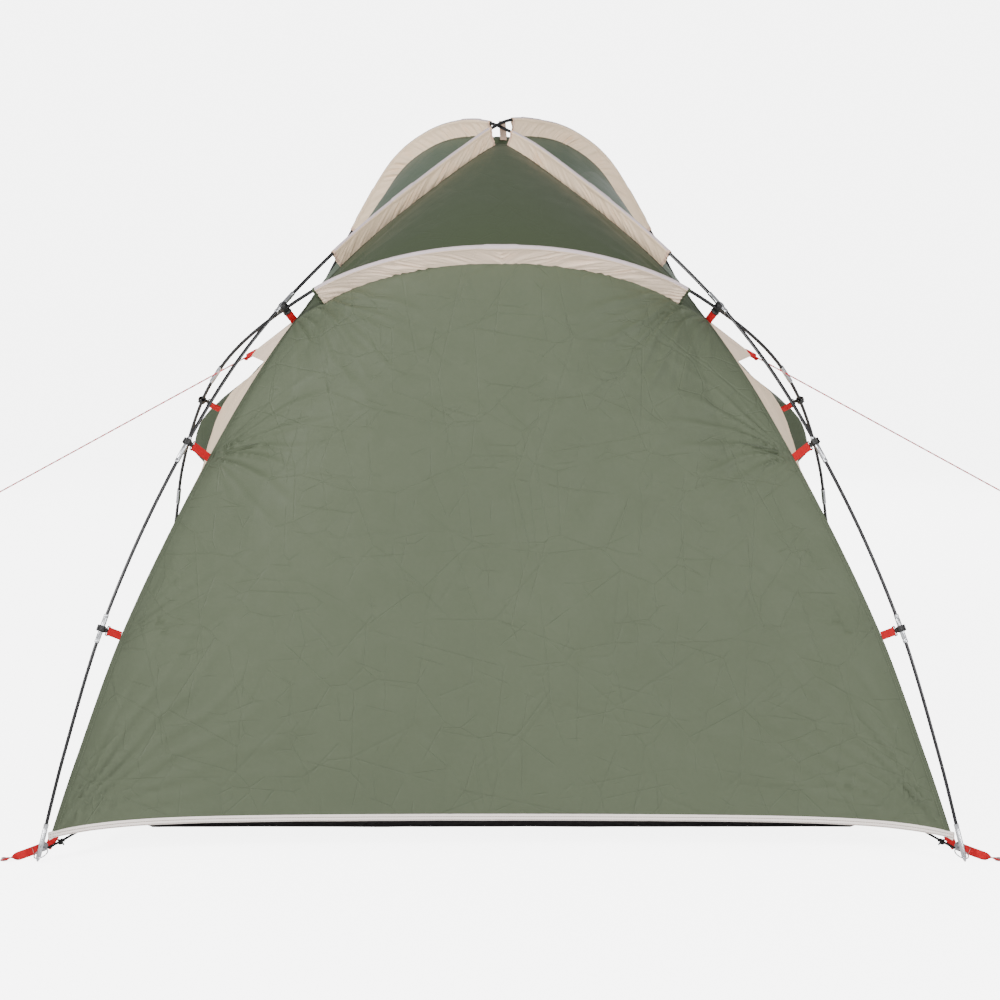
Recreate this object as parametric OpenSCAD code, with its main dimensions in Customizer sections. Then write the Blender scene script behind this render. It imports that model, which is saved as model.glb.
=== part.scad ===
// Dome tent on three fibreglass poles: two crossed poles and one leaning hoop, canopy hung inside them.
// Frame: x to the right, y from the rear towards the door, z up. The origin is on the ground,
// straight below the place where the two long poles cross.

/* [Footprint] */
// Half of the width between the two rear pole feet
foot_x = 1200; // [1150:5:1250]
// Half of the depth between the rear and the front pole feet
foot_y = 1080; // [1050:5:1110]

/* [Poles] */
// Diameter of a fibreglass rod
rod_d = 9.5; // [8:0.5:10]
// Length of a steel ferrule that joins two rods
ferrule_len = 78; // [60:1:90]
// Outer diameter of a ferrule
ferrule_d = 13; // [12.5:0.1:14]
// Length of the steel tube at each pole foot, without its point
foot_tube_len = 88; // [70:1:95]
// Height of the point at each pole foot
foot_point_h = 12; // [8:1:16]

/* [Canopy] */
// Thickness that stands in for the coated cloth
cloth_t = 1.2; // [1:0.1:2]
// Height of the hem tape
hem_h = 18; // [14:1:24]
// How far the hem rises between the corners
hem_lift = 18; // [10:1:22]
// How far the rear hem bows in at its middle
hem_bow = 80; // [60:5:90]

/* [Door] */
// Half of the door's width at the sill
door_low = 600; // [520:5:620]
// Half of the door's width at its top
door_high = 350; // [300:5:370]
// Length of the door measured up its slope
door_len = 1200; // [1100:10:1220]
// Lean of the door wall from the vertical, in degrees
door_lean = 20; // [19:0.5:21]

/* [Webbing] */
// Width of the webbing
web_w = 25; // [20:1:25]
// Thickness of the webbing
web_t = 1.6; // [1.2:0.1:2]
// Length of a peg strap from the corner disc to its eyelet
peg_strap_len = 120; // [90:5:130]
// Inner radius of the eyelet in a peg strap
eyelet_r = 5; // [4:0.5:6]

/* [Guyline] */
// Diameter of the guyline
guy_d = 3; // [2.5:0.1:3]

/* [Hidden] */

olive = [0.44, 0.48, 0.39];
dark_olive = [0.33, 0.38, 0.29];
cream = [0.86, 0.80, 0.73];
red = [0.85, 0.08, 0.12];
black = [0.07, 0.07, 0.08];
steel = [0.75, 0.76, 0.78];
grey = [0.45, 0.46, 0.47];

// ---------------------------------------------------------------- lines of the poles
// A long pole stands in a vertical plane through two opposite feet. Along that plane, s runs
// from the rear foot to the front foot and is 0 at the crossing.
half_len = norm([foot_x, foot_y]);
ux = foot_x / half_len;
uy = foot_y / half_len;
// Height of a long pole above the ground, as [s, z] pairs from the rear foot to the front foot
x_profile = [[-half_len, 0], [-1530, 263], [-1400, 597], [-1200, 949], [-950, 1275],
    [-650, 1535], [-300, 1760], [0, 1915], [150, 1929], [300, 1898], [450, 1813],
    [600, 1642], [800, 1385], [1000, 1150], [1200, 885], [1400, 563], [1530, 252],
    [half_len, 0]];
// How far the canopy seam lies inside a long pole, as [s, distance] pairs
x_inset = [[-half_len, 14], [-1520, 42], [-1380, 68], [-1200, 82], [-1000, 78], [-800, 60],
    [-640, 46], [0, 46], [640, 46], [800, 60], [1000, 78], [1200, 82], [1380, 68],
    [1520, 42], [half_len, 14]];
cross_gap = 6;
// Half the height between the two long poles where they cross fades out over this distance
cross_fade = 160;

// The hoop lies in a plane that leans to the rear: y = hoop_y0 - hoop_lean * z
hoop_y0 = 1071;
hoop_lean = 1.15;
// The hoop about a point hoop_zc above the ground, as [angle from the top, radius] pairs
hoop_zc = 500;
hoop_profile = [[0, 1072], [14, 1078], [25, 1082], [33.5, 1078], [45, 1079], [52, 1071],
    [60, 1055], [68, 1044], [79, 1043], [94, 1094], [105, 1180], [113, 1272]];
// How far the canopy seam lies inside the hoop, as [angle, distance] pairs
hoop_inset = [[0, 43], [27, 44], [33.5, 62], [42, 98], [52, 66], [60, 58], [79, 60],
    [94, 60], [106, 40], [113, 16]];
crossing_angle = 33.5;
crossing_s = -806;

function interval(k, s, i = 0) = (i >= len(k) - 2 || s < k[i + 1][0]) ? i : interval(k, s, i + 1);
function slope(k, i) = let(a = k[max(i - 1, 0)], b = k[min(i + 1, len(k) - 1)])
    (b[1] - a[1]) / (b[0] - a[0]);
// Smooth curve through the [coordinate, value] pairs k
function along(k, s) = let(i = interval(k, s), a = k[i], b = k[i + 1], h = b[0] - a[0],
    f = (s - a[0]) / h, m0 = slope(k, i) * h, m1 = slope(k, i + 1) * h)
    (2 * f * f * f - 3 * f * f + 1) * a[1] + (f * f * f - 2 * f * f + f) * m0
    + (3 * f * f - 2 * f * f * f) * b[1] + (f * f * f - f * f) * m1;
function unit(v) = v / norm(v);
function flip(p) = [-p[0], p[1], p[2]];
function flip_all(l) = [for (p = l) flip(p)];
function mix(a, b, f) = a + (b - a) * f;
function steps(n) = [for (i = [0:n]) i / n];
function lerp_list(a, b, n) = [for (f = steps(n)) mix(a, b, f)];

// Point on a long pole. over is +1 for the pole that passes on top at the crossing and -1 for the other.
function x_pole(s, over = 0) = [ux * s, uy * s,
    along(x_profile, s) + over * cross_gap * max(0, 1 - abs(s) / cross_fade)];
function x_normal(s) = let(dz = (along(x_profile, s + 2) - along(x_profile, s - 2)) / 4,
    n = norm([dz, 1])) [ux * dz / n, uy * dz / n, -1 / n];
// Canopy seam below a long pole
function x_seam(s, extra = 0) = x_pole(s) + (along(x_inset, s) + extra) * x_normal(s);
// Point in the hoop's plane, for a radius and an angle that is negative on the left
function hoop_at(a, r) = let(z = hoop_zc + r * cos(a)) [r * sin(a), hoop_y0 - hoop_lean * z, z];
function hoop_pole(a) = hoop_at(a, along(hoop_profile, abs(a)));
function hoop_seam(a, extra = 0) = hoop_at(a, along(hoop_profile, abs(a))
    - along(hoop_inset, abs(a)) - extra);
// The hoop's seam on the left leg runs into the long pole's seam at the crossing clip.
join_left = x_seam(crossing_s);
seam_step = join_left - hoop_seam(-crossing_angle);
function leg_seam(a) = hoop_seam(-a)
    + seam_step * max(0, min(1, (60 - a) / (60 - crossing_angle)));

// ---------------------------------------------------------------- solids made from lines
// Tube of radius r and n sides swept along points p
function frame_x(t) = unit(cross(abs(t[2]) < 0.9 ? [0, 0, 1] : [0, 1, 0], t));
function tangent(p, i) = unit(p[min(i + 1, len(p) - 1)] - p[max(i - 1, 0)]);
module swept(p, r, n = 8) {
    rings = [for (i = [0:len(p) - 1]) let(t = tangent(p, i), a = frame_x(t), b = cross(t, a))
        for (k = [0:n - 1]) p[i] + r * (cos(360 * k / n) * a + sin(360 * k / n) * b)];
    sides = [for (i = [0:len(p) - 2]) for (k = [0:n - 1])
        [i * n + k, (i + 1) * n + k, (i + 1) * n + (k + 1) % n, i * n + (k + 1) % n]];
    last = (len(p) - 1) * n;
    polyhedron(rings, concat(sides, [[for (k = [0:n - 1]) k]], [[for (k = [n - 1:-1:0]) last + k]]));
}

// Grid of points of a patch between four border lines: l and r run upwards, b and t from l to r.
function fit_ends(c, p, q) = let(n = len(c) - 1)
    [for (i = [0:n]) c[i] + (p - c[0]) * (1 - i / n) + (q - c[n]) * i / n];
function patch(l, r, b, t) = let(m = len(l) - 1, n = len(b) - 1,
    bb = fit_ends(b, l[0], r[0]), tt = fit_ends(t, l[m], r[m]))
    [for (j = [0:m]) let(v = j / m) [for (i = [0:n]) let(u = i / n)
        mix(l[j], r[j], u) + mix(bb[i], tt[i], v)
        - mix(mix(l[0], r[0], u), mix(l[m], r[m], u), v)]];
// Pulls the border of a grid in by about gap, so that neighbouring pieces stay apart
function trim_row(row, gap) = let(n = len(row) - 1)
    [for (i = [0:n]) i == 0 ? row[0] + unit(row[1] - row[0]) * gap
        : i == n ? row[n] + unit(row[n - 1] - row[n]) * gap : row[i]];
function turn(g) = [for (i = [0:len(g[0]) - 1]) [for (j = [0:len(g) - 1]) g[j][i]]];
function trimmed(g, gap) = turn([for (col = turn([for (row = g) trim_row(row, gap)]))
    trim_row(col, gap)]);
function mirrored(g) = [for (row = g) [for (i = [len(row) - 1:-1:0]) flip(row[i])]];
// Thin closed solid on a grid; its thickness lies behind the grid. hole = [i0, i1, j0, j1] leaves cells out.
function in_hole(hole, i, j) = len(hole) == 4 && i >= hole[0] && i < hole[1] && j >= hole[2] && j < hole[3];
module cloth(g, t = cloth_t, hole = []) {
    m = len(g) - 1;
    n = len(g[0]) - 1;
    w = n + 1;
    count = (m + 1) * w;
    front = [for (j = [0:m]) for (i = [0:n]) g[j][i]];
    back = [for (j = [0:m]) for (i = [0:n])
        g[j][i] - t * unit(cross(g[j][min(i + 1, n)] - g[j][max(i - 1, 0)],
            g[min(j + 1, m)][i] - g[max(j - 1, 0)][i]))];
    function used(i, j) = i >= 0 && j >= 0 && i < n && j < m && !in_hole(hole, i, j);
    function v(i, j, layer) = layer * count + j * w + i;
    faces = [for (j = [0:m - 1]) for (i = [0:n - 1]) if (used(i, j)) each [
        [v(i, j, 0), v(i, j + 1, 0), v(i + 1, j + 1, 0)], [v(i, j, 0), v(i + 1, j + 1, 0), v(i + 1, j, 0)],
        [v(i, j, 1), v(i + 1, j + 1, 1), v(i, j + 1, 1)], [v(i, j, 1), v(i + 1, j, 1), v(i + 1, j + 1, 1)]]];
    rim = [for (j = [0:m - 1]) for (i = [0:n - 1]) if (used(i, j)) each concat(
        used(i, j - 1) ? [] : [[v(i, j, 0), v(i + 1, j, 0), v(i + 1, j, 1), v(i, j, 1)]],
        used(i, j + 1) ? [] : [[v(i + 1, j + 1, 0), v(i, j + 1, 0), v(i, j + 1, 1), v(i + 1, j + 1, 1)]],
        used(i - 1, j) ? [] : [[v(i, j + 1, 0), v(i, j, 0), v(i, j, 1), v(i, j + 1, 1)]],
        used(i + 1, j) ? [] : [[v(i + 1, j, 0), v(i + 1, j + 1, 0), v(i + 1, j + 1, 1), v(i + 1, j, 1)]])];
    polyhedron(concat(front, back), concat(faces, rim));
}

// Places children with z along axis and x as near to side as it can be
module aim(at, axis, side) {
    z = unit(axis);
    y = unit(cross(z, side));
    x = cross(y, z);
    multmatrix([[x[0], y[0], z[0], at[0]], [x[1], y[1], z[1], at[1]], [x[2], y[2], z[2], at[2]]])
        children();
}
// Flat strap from a to b; across is the direction of its width
module strap(a, b, across, w = web_w, t = web_t) {
    aim(a, b - a, across) translate([-w / 2, -t / 2, 0]) cube([w, t, norm(b - a)]);
}
module both_sides() {
    children();
    mirror([1, 0, 0]) children();
}
module four_corners() {
    both_sides() {
        children();
        mirror([0, 1, 0]) children();
    }
}

// ---------------------------------------------------------------- poles
rod_r = rod_d / 2;
// Places of the ferrules along a long pole, and by angle on each leg of the hoop
x_joints = [-1405, -1140, -800, -375, 120, 570, 900, 1190, 1430];
hoop_joints = [-96, -74, -49.2, 0, 49.2, 74, 96];
rod_gap = 1;
x_foot = [-foot_x, -foot_y, 0.8];
x_foot_dir = x_pole(-1540) - x_foot;
hoop_foot = hoop_at(-113, 1272) - [0, 0, 1];
hoop_foot_dir = hoop_pole(-107) - hoop_foot;
function x_dir(s, over) = unit(x_pole(s + 20, over) - x_pole(s - 20, over));
function hoop_dir(a) = unit(hoop_pole(a + 1) - hoop_pole(a - 1));

// A rod is straight in its ferrules and foot tubes and follows the pole's curve between them.
// Each end is [point, direction into the rod, length of the straight].
hold = ferrule_len / 2 + 4;
module rod(from, to, curve) {
    swept(concat([from[0] + from[1] * rod_gap, from[0] + from[1] * from[2]], curve,
        [to[0] + to[1] * to[2], to[0] + to[1] * rod_gap]), rod_r);
}
function foot_end(foot, dir) = let(d = unit(dir)) [foot + d * (foot_point_h + 7), d, foot_tube_len];
module x_rods(over) {
    n = len(x_joints);
    for (k = [0:n]) {
        low = k == 0 ? -1540 : x_joints[k - 1] + hold + 8;
        high = k == n ? 1540 : x_joints[k] - hold - 8;
        rod(k == 0 ? foot_end(x_foot, x_foot_dir) : [x_pole(x_joints[k - 1], over), x_dir(x_joints[k - 1], over), hold],
            k == n ? foot_end([foot_x, foot_y, x_foot[2]], [-x_foot_dir[0], -x_foot_dir[1], x_foot_dir[2]])
                : [x_pole(x_joints[k], over), -x_dir(x_joints[k], over), hold],
            [for (f = steps(8)) x_pole(mix(low, high, f), over)]);
    }
}
module x_pole_left_rods() { color(black) x_rods(1); }
module x_pole_right_rods() { color(black) mirror([1, 0, 0]) x_rods(-1); }
module hoop_pole_rods() {
    n = len(hoop_joints);
    color(black) for (k = [0:n]) {
        low = k == 0 ? -107 : hoop_joints[k - 1] + 3;
        high = k == n ? 107 : hoop_joints[k] - 3;
        rod(k == 0 ? foot_end(hoop_foot, hoop_foot_dir) : [hoop_pole(hoop_joints[k - 1]), hoop_dir(hoop_joints[k - 1]), hold],
            k == n ? foot_end(flip(hoop_foot), flip(hoop_foot_dir))
                : [hoop_pole(hoop_joints[k]), -hoop_dir(hoop_joints[k]), hold],
            [for (f = steps(14)) hoop_pole(mix(low, high, f))]);
    }
}

ferrule_bore = rod_d + 1.4;
module tube(len, outer, inner) {
    difference() {
        cylinder(h = len, d = outer, center = true, $fn = 40);
        cylinder(h = len + 2, d = inner, center = true, $fn = 40);
    }
}
module x_ferrule(s, over) {
    aim(x_pole(s, over), x_dir(s, over), [0, 1, 0])
        tube(ferrule_len, ferrule_d, ferrule_bore);
}
module x_pole_left_ferrules() { color(steel) for (s = x_joints) x_ferrule(s, 1); }
module x_pole_right_ferrules() { color(steel) mirror([1, 0, 0]) for (s = x_joints) x_ferrule(s, -1); }
module hoop_pole_ferrules() {
    color(steel) for (a = hoop_joints)
        aim(hoop_pole(a), hoop_dir(a), [0, 1, 0])
            tube(ferrule_len, ferrule_d, ferrule_bore);
}

// Steel tube with a pointed end that takes the last rod of a pole
module foot_tube() {
    difference() {
        union() {
            translate([0, 0, foot_point_h]) cylinder(h = foot_tube_len, d = ferrule_d, $fn = 40);
            cylinder(h = foot_point_h, d1 = 5, d2 = ferrule_d, $fn = 40);
        }
        translate([0, 0, foot_point_h + 4]) cylinder(h = foot_tube_len, d = ferrule_bore, $fn = 40);
    }
}
module pole_foot_tubes() {
    color(steel) {
        four_corners() aim(x_foot, x_foot_dir, [1, 0, 0]) foot_tube();
        both_sides() aim(hoop_foot, hoop_foot_dir, [1, 0, 0]) foot_tube();
    }
}

// ---------------------------------------------------------------- corners
ring_r = 19;
ring_wire = 1.6;
ring_at = x_foot + [9, 5, 20];
disc_r = 13;
disc_at = x_foot + [10, 31, 32];
disc_normal = unit([0.2, -1, 0.15]);
corner_top = [-foot_x + 37, -foot_y + 36, 45];
module corner_rings() {
    color(steel) four_corners() translate(ring_at) rotate([18, -20, 0])
        rotate_extrude($fn = 48) translate([ring_r, 0]) circle(r = ring_wire, $fn = 16);
}
module corner_discs() {
    color(grey) four_corners() aim(disc_at, disc_normal, [1, 0, 0]) cylinder(h = 2.4, r = disc_r, $fn = 40);
}
module corner_straps() {
    color(red) four_corners() strap(disc_at + [11, 6, 13], corner_top, [0.75, 0.1, -0.6], web_w * 0.58);
}
peg_start = disc_at + [-3, 6, -2];
peg_dir = unit([-0.85, -0.08, -0.42]);
peg_bend = peg_start + peg_dir * 40;
peg_end = [peg_bend[0] - peg_strap_len * 0.62, peg_bend[1] - peg_strap_len * 0.22, 4];
module peg_straps() {
    color(red) four_corners() difference() {
        union() {
            strap(peg_start, peg_bend, [-0.5, 0, 0.85]);
            strap(peg_bend + [-1, 0, -1.2], peg_end, [0.24, -0.7, 0.1]);
        }
        translate([peg_end[0] + 14, peg_end[1] + 5, 0]) cylinder(h = 60, r = eyelet_r + 2.2, center = true, $fn = 40);
    }
}
module peg_eyelets() {
    color(steel) four_corners() translate([peg_end[0] + 14, peg_end[1] + 5, 0]) difference() {
        union() {
            translate([0, 0, 2]) cylinder(h = 6, r = eyelet_r + 1.6, $fn = 40);
            translate([0, 0, 1.2]) cylinder(h = 1.2, r = eyelet_r + 5, $fn = 40);
        }
        cylinder(h = 30, r = eyelet_r, center = true, $fn = 40);
    }
}
// Elastic cord from the groundsheet's rim to the ring, with a bead on it; the front ones run lower
elastic_to = ring_at + [16, 14, 11];
rear_elastic = [[-1054, -859, 72], elastic_to];
front_elastic = [[-1058, 925, 22], [elastic_to[0], -elastic_to[1], elastic_to[2]]];
module corner_elastics() {
    color(black) both_sides() for (e = [rear_elastic, front_elastic]) swept(lerp_list(e[0], e[1], 4), 2.2, 8);
}
module elastic_toggles() {
    color(black) both_sides() for (e = [rear_elastic, front_elastic])
        aim(mix(e[0], e[1], 0.6), e[1] - e[0], [0, 0, 1]) difference() {
            cylinder(h = 14, r = 5, center = true, $fn = 32);
            cylinder(h = 16, r = 2.9, center = true, $fn = 32);
        }
}

// ---------------------------------------------------------------- clips and webbing tabs
// Places of the clips: along the long poles, and by angle on the hoop's legs
clip_s = [-1405, -1126, 1126, 1405];
clip_angles = [54.5, 84];
clip_len = 17;
clip_wall = 3.2;
clip_reach = 22;
module clip_body(reach) {
    bore = ferrule_d / 2 + 0.7;
    difference() {
        union() {
            cylinder(h = clip_len, r = bore + clip_wall, center = true, $fn = 40);
            translate([0, -4, -clip_len / 2]) cube([reach, 8, clip_len]);
        }
        cylinder(h = clip_len + 2, r = bore, center = true, $fn = 40);
        translate([-bore - 6, 0, 0]) cube([10, bore, clip_len + 2], center = true);
    }
}
module on_x_pole(s) {
    aim(x_pole(s), x_pole(s + 10) - x_pole(s - 10), x_normal(s)) children();
}
function hoop_in(a) = unit(hoop_seam(a) - hoop_pole(a));
module on_hoop(a) {
    aim(hoop_pole(a), hoop_pole(a + 1) - hoop_pole(a - 1), leg_seam(-a) - hoop_pole(a)) children();
}
module leg_clips() {
    color(black) both_sides() {
        for (s = clip_s) on_x_pole(s) clip_body(clip_reach);
        for (a = clip_angles) on_hoop(-a) clip_body(clip_reach);
    }
}
// Knob that holds the hoop and a long pole where they cross
cross_clip_at = mix(x_pole(crossing_s), hoop_pole(-crossing_angle), 0.5);
cross_clip_in = unit(join_left - cross_clip_at);
module crossing_clips() {
    color(black) both_sides() difference() {
        aim(cross_clip_at - cross_clip_in * 12, cross_clip_in, [0, 1, 0]) cylinder(h = 34, r = 13, $fn = 40);
        on_x_pole(crossing_s) cylinder(h = 80, r = ferrule_d / 2 + 0.4, center = true, $fn = 40);
        aim(hoop_pole(-crossing_angle), hoop_pole(-crossing_angle + 1) - hoop_pole(-crossing_angle - 1), [0, 1, 0])
            cylinder(h = 80, r = ferrule_d / 2 + 0.4, center = true, $fn = 40);
    }
}
// Red tab from a clip to the canopy seam
module tab(pole_at, seam_at, along_pole, start) {
    d = unit(seam_at - pole_at);
    strap(pole_at + d * start, seam_at - d * 3, along_pole, web_w * 0.9);
}
module clip_webbings() {
    color(red) both_sides() {
        for (s = clip_s) tab(x_pole(s), x_seam(s), x_pole(s + 10) - x_pole(s - 10), clip_reach + 2);
        for (a = clip_angles) tab(hoop_pole(-a), leg_seam(a), hoop_pole(-a + 1) - hoop_pole(-a - 1), clip_reach + 2);
    }
}
module crossing_webbings() {
    color(red) both_sides() tab(cross_clip_at, join_left, x_pole(crossing_s + 10) - x_pole(crossing_s - 10), 24);
}
peak_cut = 34;
peak_z = x_seam(0)[2] + 2;
module peak_loop() {
    color(cream) both_sides() strap([3, 3, peak_z + 4], [8, 3, peak_z + 25], [0, 1, 0], 18, 1.4);
}

// ---------------------------------------------------------------- sleeves
fin_t = 2;
fin_gap = 4;
module fin(top, bottom) { cloth([top, bottom], fin_t); }
sleeve_top = ferrule_d / 2 + 1;
module x_sleeve(s0, s1, over) {
    list = [for (f = steps(9)) mix(s0, s1, f)];
    shift = fin_t / 2 * [uy, -ux, 0];
    fin([for (s = list) x_pole(s, over) + x_normal(s) * sleeve_top + shift],
        [for (s = list) x_seam(s) - x_normal(s) * fin_gap + shift]);
}
sleeve_start = 42;
sleeve_end = 632;
module rear_sleeve_left() { color(cream) x_sleeve(-sleeve_end, -sleeve_start, 1); }
module rear_sleeve_right() { color(cream) mirror([1, 0, 0]) x_sleeve(-sleeve_end, -sleeve_start, -1); }
module front_sleeve_right() { color(cream) x_sleeve(sleeve_start, sleeve_end, 1); }
module front_sleeve_left() { color(cream) mirror([1, 0, 0]) x_sleeve(sleeve_start, sleeve_end, -1); }
hoop_sleeve_end = 27.5;
module hoop_sleeve() {
    list = [for (f = steps(16)) mix(-hoop_sleeve_end, hoop_sleeve_end, f)];
    shift = fin_t / 2 * unit([0, 1, hoop_lean]);
    color(cream) fin([for (a = list) hoop_pole(a) + hoop_in(a) * sleeve_top + shift],
        [for (a = list) hoop_seam(a) - hoop_in(a) * fin_gap + shift]);
}

// ---------------------------------------------------------------- canopy panels
seam_gap = 3;
cells_up = 12;
cells_across = 14;
panel_foot = 24 - half_len;
rear_left = [for (f = steps(cells_up)) x_seam(mix(panel_foot, crossing_s, f))];
// A hem runs nearly straight along a side and drops to the rings in its last stretch: 0 at a corner, 1 at mid side
function hem_rise(f) = let(q = 2 * f - 1) 0.75 * (1 - pow(q, 8)) + 0.25 * (1 - q * q);
rear_low = [for (f = steps(cells_across)) mix(rear_left[0], flip(rear_left[0]), f)
    + [0, hem_bow * hem_rise(f), hem_lift * hem_rise(f)]];
// The arch over the rear panel follows the hoop and turns up to the crossing clips at its ends.
arch_angles = [for (i = [-7:7]) abs(i) < 6 ? i * 5.5 : sign(i) * (27.5 + 3 * (abs(i) - 5))];
function arch_step(a) = max(0, abs(a) - 27.5) / (crossing_angle - 27.5);
arch = [for (a = arch_angles) hoop_seam(a)
    + arch_step(a) * (a < 0 ? seam_step : flip(seam_step))];
rear_grid = patch(rear_left, flip_all(rear_left), rear_low, arch);
module rear_panel() { color(olive) cloth(trimmed(rear_grid, seam_gap)); }

roof_left = [for (f = steps(8)) x_seam(mix(crossing_s, -peak_cut, f))];
rear_roof_grid = patch(roof_left, flip_all(roof_left), arch, lerp_list(x_seam(-peak_cut), flip(x_seam(-peak_cut)), cells_across));
module rear_roof() { color(dark_olive) cloth(trimmed(rear_roof_grid, seam_gap)); }
module peak_patch() {
    color(dark_olive) translate([0, 0, peak_z]) linear_extrude(cloth_t)
        offset(r = 8, $fn = 32) square([28, 22], center = true);
}

// Side panel: rear border down the long pole and the hoop's leg, front border down the other long pole
leg_cells = 12;
roof_cells = 6;
leg_end = 111.5;
side_rear = concat([for (f = steps(leg_cells)) leg_seam(mix(leg_end, crossing_angle, f))],
    [for (i = [1:roof_cells]) x_seam(mix(crossing_s, -peak_cut, i / roof_cells))]);
side_front = [for (f = steps(leg_cells + roof_cells)) flip(x_seam(mix(half_len - 20, peak_cut, f)))];
side_grid = patch(side_front, side_rear, lerp_list(side_front[0], side_rear[0], 8),
    lerp_list(side_front[leg_cells + roof_cells], side_rear[leg_cells + roof_cells], 8));
vent_cells = [5, 7, 7, 8];
module side_panel() { cloth(trimmed(side_grid, seam_gap), hole = vent_cells); }
module side_panel_left() { color(olive) side_panel(); }
module side_panel_right() { color(olive) mirror([1, 0, 0]) side_panel(); }

// Side gusset between the rear leg and the hoop's leg; a level seam parts it from the lower side
gusset_s = -1185;
gusset_angle = 71;
function gusset_front(a0, a1, n) = [for (f = steps(n)) leg_seam(mix(a0, a1, f))];
function gusset_rear(s0, s1, n) = [for (f = steps(n)) x_seam(mix(s0, s1, f))];
gusset_low = lerp_list(leg_seam(gusset_angle), x_seam(gusset_s), 8);
module side_gusset() {
    cloth(trimmed(patch(gusset_front(gusset_angle, crossing_angle + 3, 8), gusset_rear(gusset_s, crossing_s - 24, 8),
        gusset_low, lerp_list(leg_seam(crossing_angle + 3), x_seam(crossing_s - 24), 8)), seam_gap));
}
module side_gusset_left() { color(cream) side_gusset(); }
module side_gusset_right() { color(cream) mirror([1, 0, 0]) side_gusset(); }
side_hem_line = [for (f = steps(12)) mix(leg_seam(leg_end), x_seam(panel_foot), f)
    + [hem_bow * hem_rise(f), 0, hem_lift * hem_rise(f)]];
side_lower_grid = patch(gusset_front(leg_end, gusset_angle, 8), gusset_rear(panel_foot, gusset_s, 8),
    side_hem_line, [for (f = steps(12)) mix(leg_seam(gusset_angle), x_seam(gusset_s), f)]);
module side_lower() { cloth(trimmed(side_lower_grid, seam_gap)); }
module side_lower_left() { color(olive) side_lower(); }
module side_lower_right() { color(olive) mirror([1, 0, 0]) side_lower(); }

// ---------------------------------------------------------------- front wall and door
sill_v = 66;
door_foot_y = 1010;
zip_w = 12;
module in_door_plane() {
    translate([0, door_foot_y, 0]) rotate([door_lean, 0, 0]) children();
}
function door_plane(x, v) = [x, door_foot_y - v * sin(door_lean), v * cos(door_lean)];
door_top_v = sill_v + door_len;
function door_half(v) = mix(door_low, door_high, (v - sill_v) / door_len);
module door_outline(v0, v1) {
    polygon([[-door_half(v0), v0], [door_half(v0), v0], [door_half(v1), v1], [-door_half(v1), v1]]);
}
module door() {
    color(olive) in_door_plane() rotate([90, 0, 0]) translate([0, 0, -cloth_t]) linear_extrude(cloth_t)
        door_outline(sill_v + hem_h + 2, door_top_v);
}
module door_hem() {
    color(cream) in_door_plane() rotate([90, 0, 0]) translate([0, 0, -cloth_t]) linear_extrude(cloth_t)
        door_outline(sill_v, sill_v + hem_h);
}
zip_out = zip_w + 3;
zip_tilt = atan((door_low - door_high) / door_len);
zip_len = norm([door_low - door_high, door_len]);
module on_zip() {
    in_door_plane() translate([door_low + zip_out / 2, 0, sill_v]) rotate([0, -zip_tilt, 0]) children();
}
module door_zip() { on_zip() translate([-zip_w / 2 + 1, 0, 0]) cube([zip_w - 2, cloth_t, zip_len]); }
module door_zip_right() { color(black) door_zip(); }
module door_zip_left() { color(black) mirror([1, 0, 0]) door_zip(); }
slider_low = 14;
module zip_slider() {
    on_zip() translate([0, cloth_t + 0.4, slider_low]) {
        translate([-4, 0, 0]) cube([8, 4, 14]);
        translate([-2, 4.2, -26]) cube([4, 1.6, 34]);
        translate([-1.5, 3.9, 4]) cube([3, 0.4, 3]);
    }
}
module zip_slider_right() { color(steel) zip_slider(); }
module zip_slider_left() { color(steel) mirror([1, 0, 0]) zip_slider(); }

front_top_s = 830;
front_foot_s = half_len - 24;
wall_door = [for (f = steps(cells_up)) let(v = mix(sill_v, door_top_v, f))
    door_plane(door_half(v) + zip_out, v)];
wall_seam = [for (f = steps(cells_up)) x_seam(mix(front_foot_s, front_top_s, f))];
wall_low = lerp_list(wall_seam[0], wall_door[0], 5);
wall_top = lerp_list(wall_seam[cells_up], wall_door[cells_up], 5);
wall_grid = patch(wall_seam, wall_door, wall_low, wall_top);
module front_wall_right() { color(olive) cloth(trimmed(wall_grid, seam_gap)); }
module front_wall_left() { color(olive) mirror([1, 0, 0]) cloth(trimmed(wall_grid, seam_gap)); }
lintel = concat([for (i = [0:3]) mix(x_seam(front_top_s), door_plane(door_high + zip_out, door_top_v), i / 4)],
    [for (i = [0:6]) door_plane(mix(door_high + zip_out, -door_high - zip_out, i / 6), door_top_v)],
    [for (i = [1:4]) flip(mix(door_plane(door_high + zip_out, door_top_v), x_seam(front_top_s), i / 4))]);
roof_right = [for (f = steps(9)) x_seam(mix(front_top_s, peak_cut, f))];
front_roof_grid = patch(roof_right, flip_all(roof_right), lintel, lerp_list(x_seam(peak_cut), flip(x_seam(peak_cut)), 14));
module front_roof() { color(olive) cloth(trimmed(front_roof_grid, seam_gap)); }

// ---------------------------------------------------------------- hems and groundsheet
function lowered(line, drop) = [for (p = line) p - [0, 0, drop]];
module hem(line, gap) { cloth(trimmed([lowered(line, hem_h + gap), lowered(line, gap)], 4)); }
module rear_hem() { color(cream) hem(rear_low, 0); }
module side_hem_left() { color(cream) hem(side_hem_line, 0); }
module side_hem_right() { color(cream) mirror([1, 0, 0]) hem(side_hem_line, 0); }
module front_hem_right() { color(cream) hem(wall_low, 0); }
module front_hem_left() { color(cream) mirror([1, 0, 0]) hem(wall_low, 0); }
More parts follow.
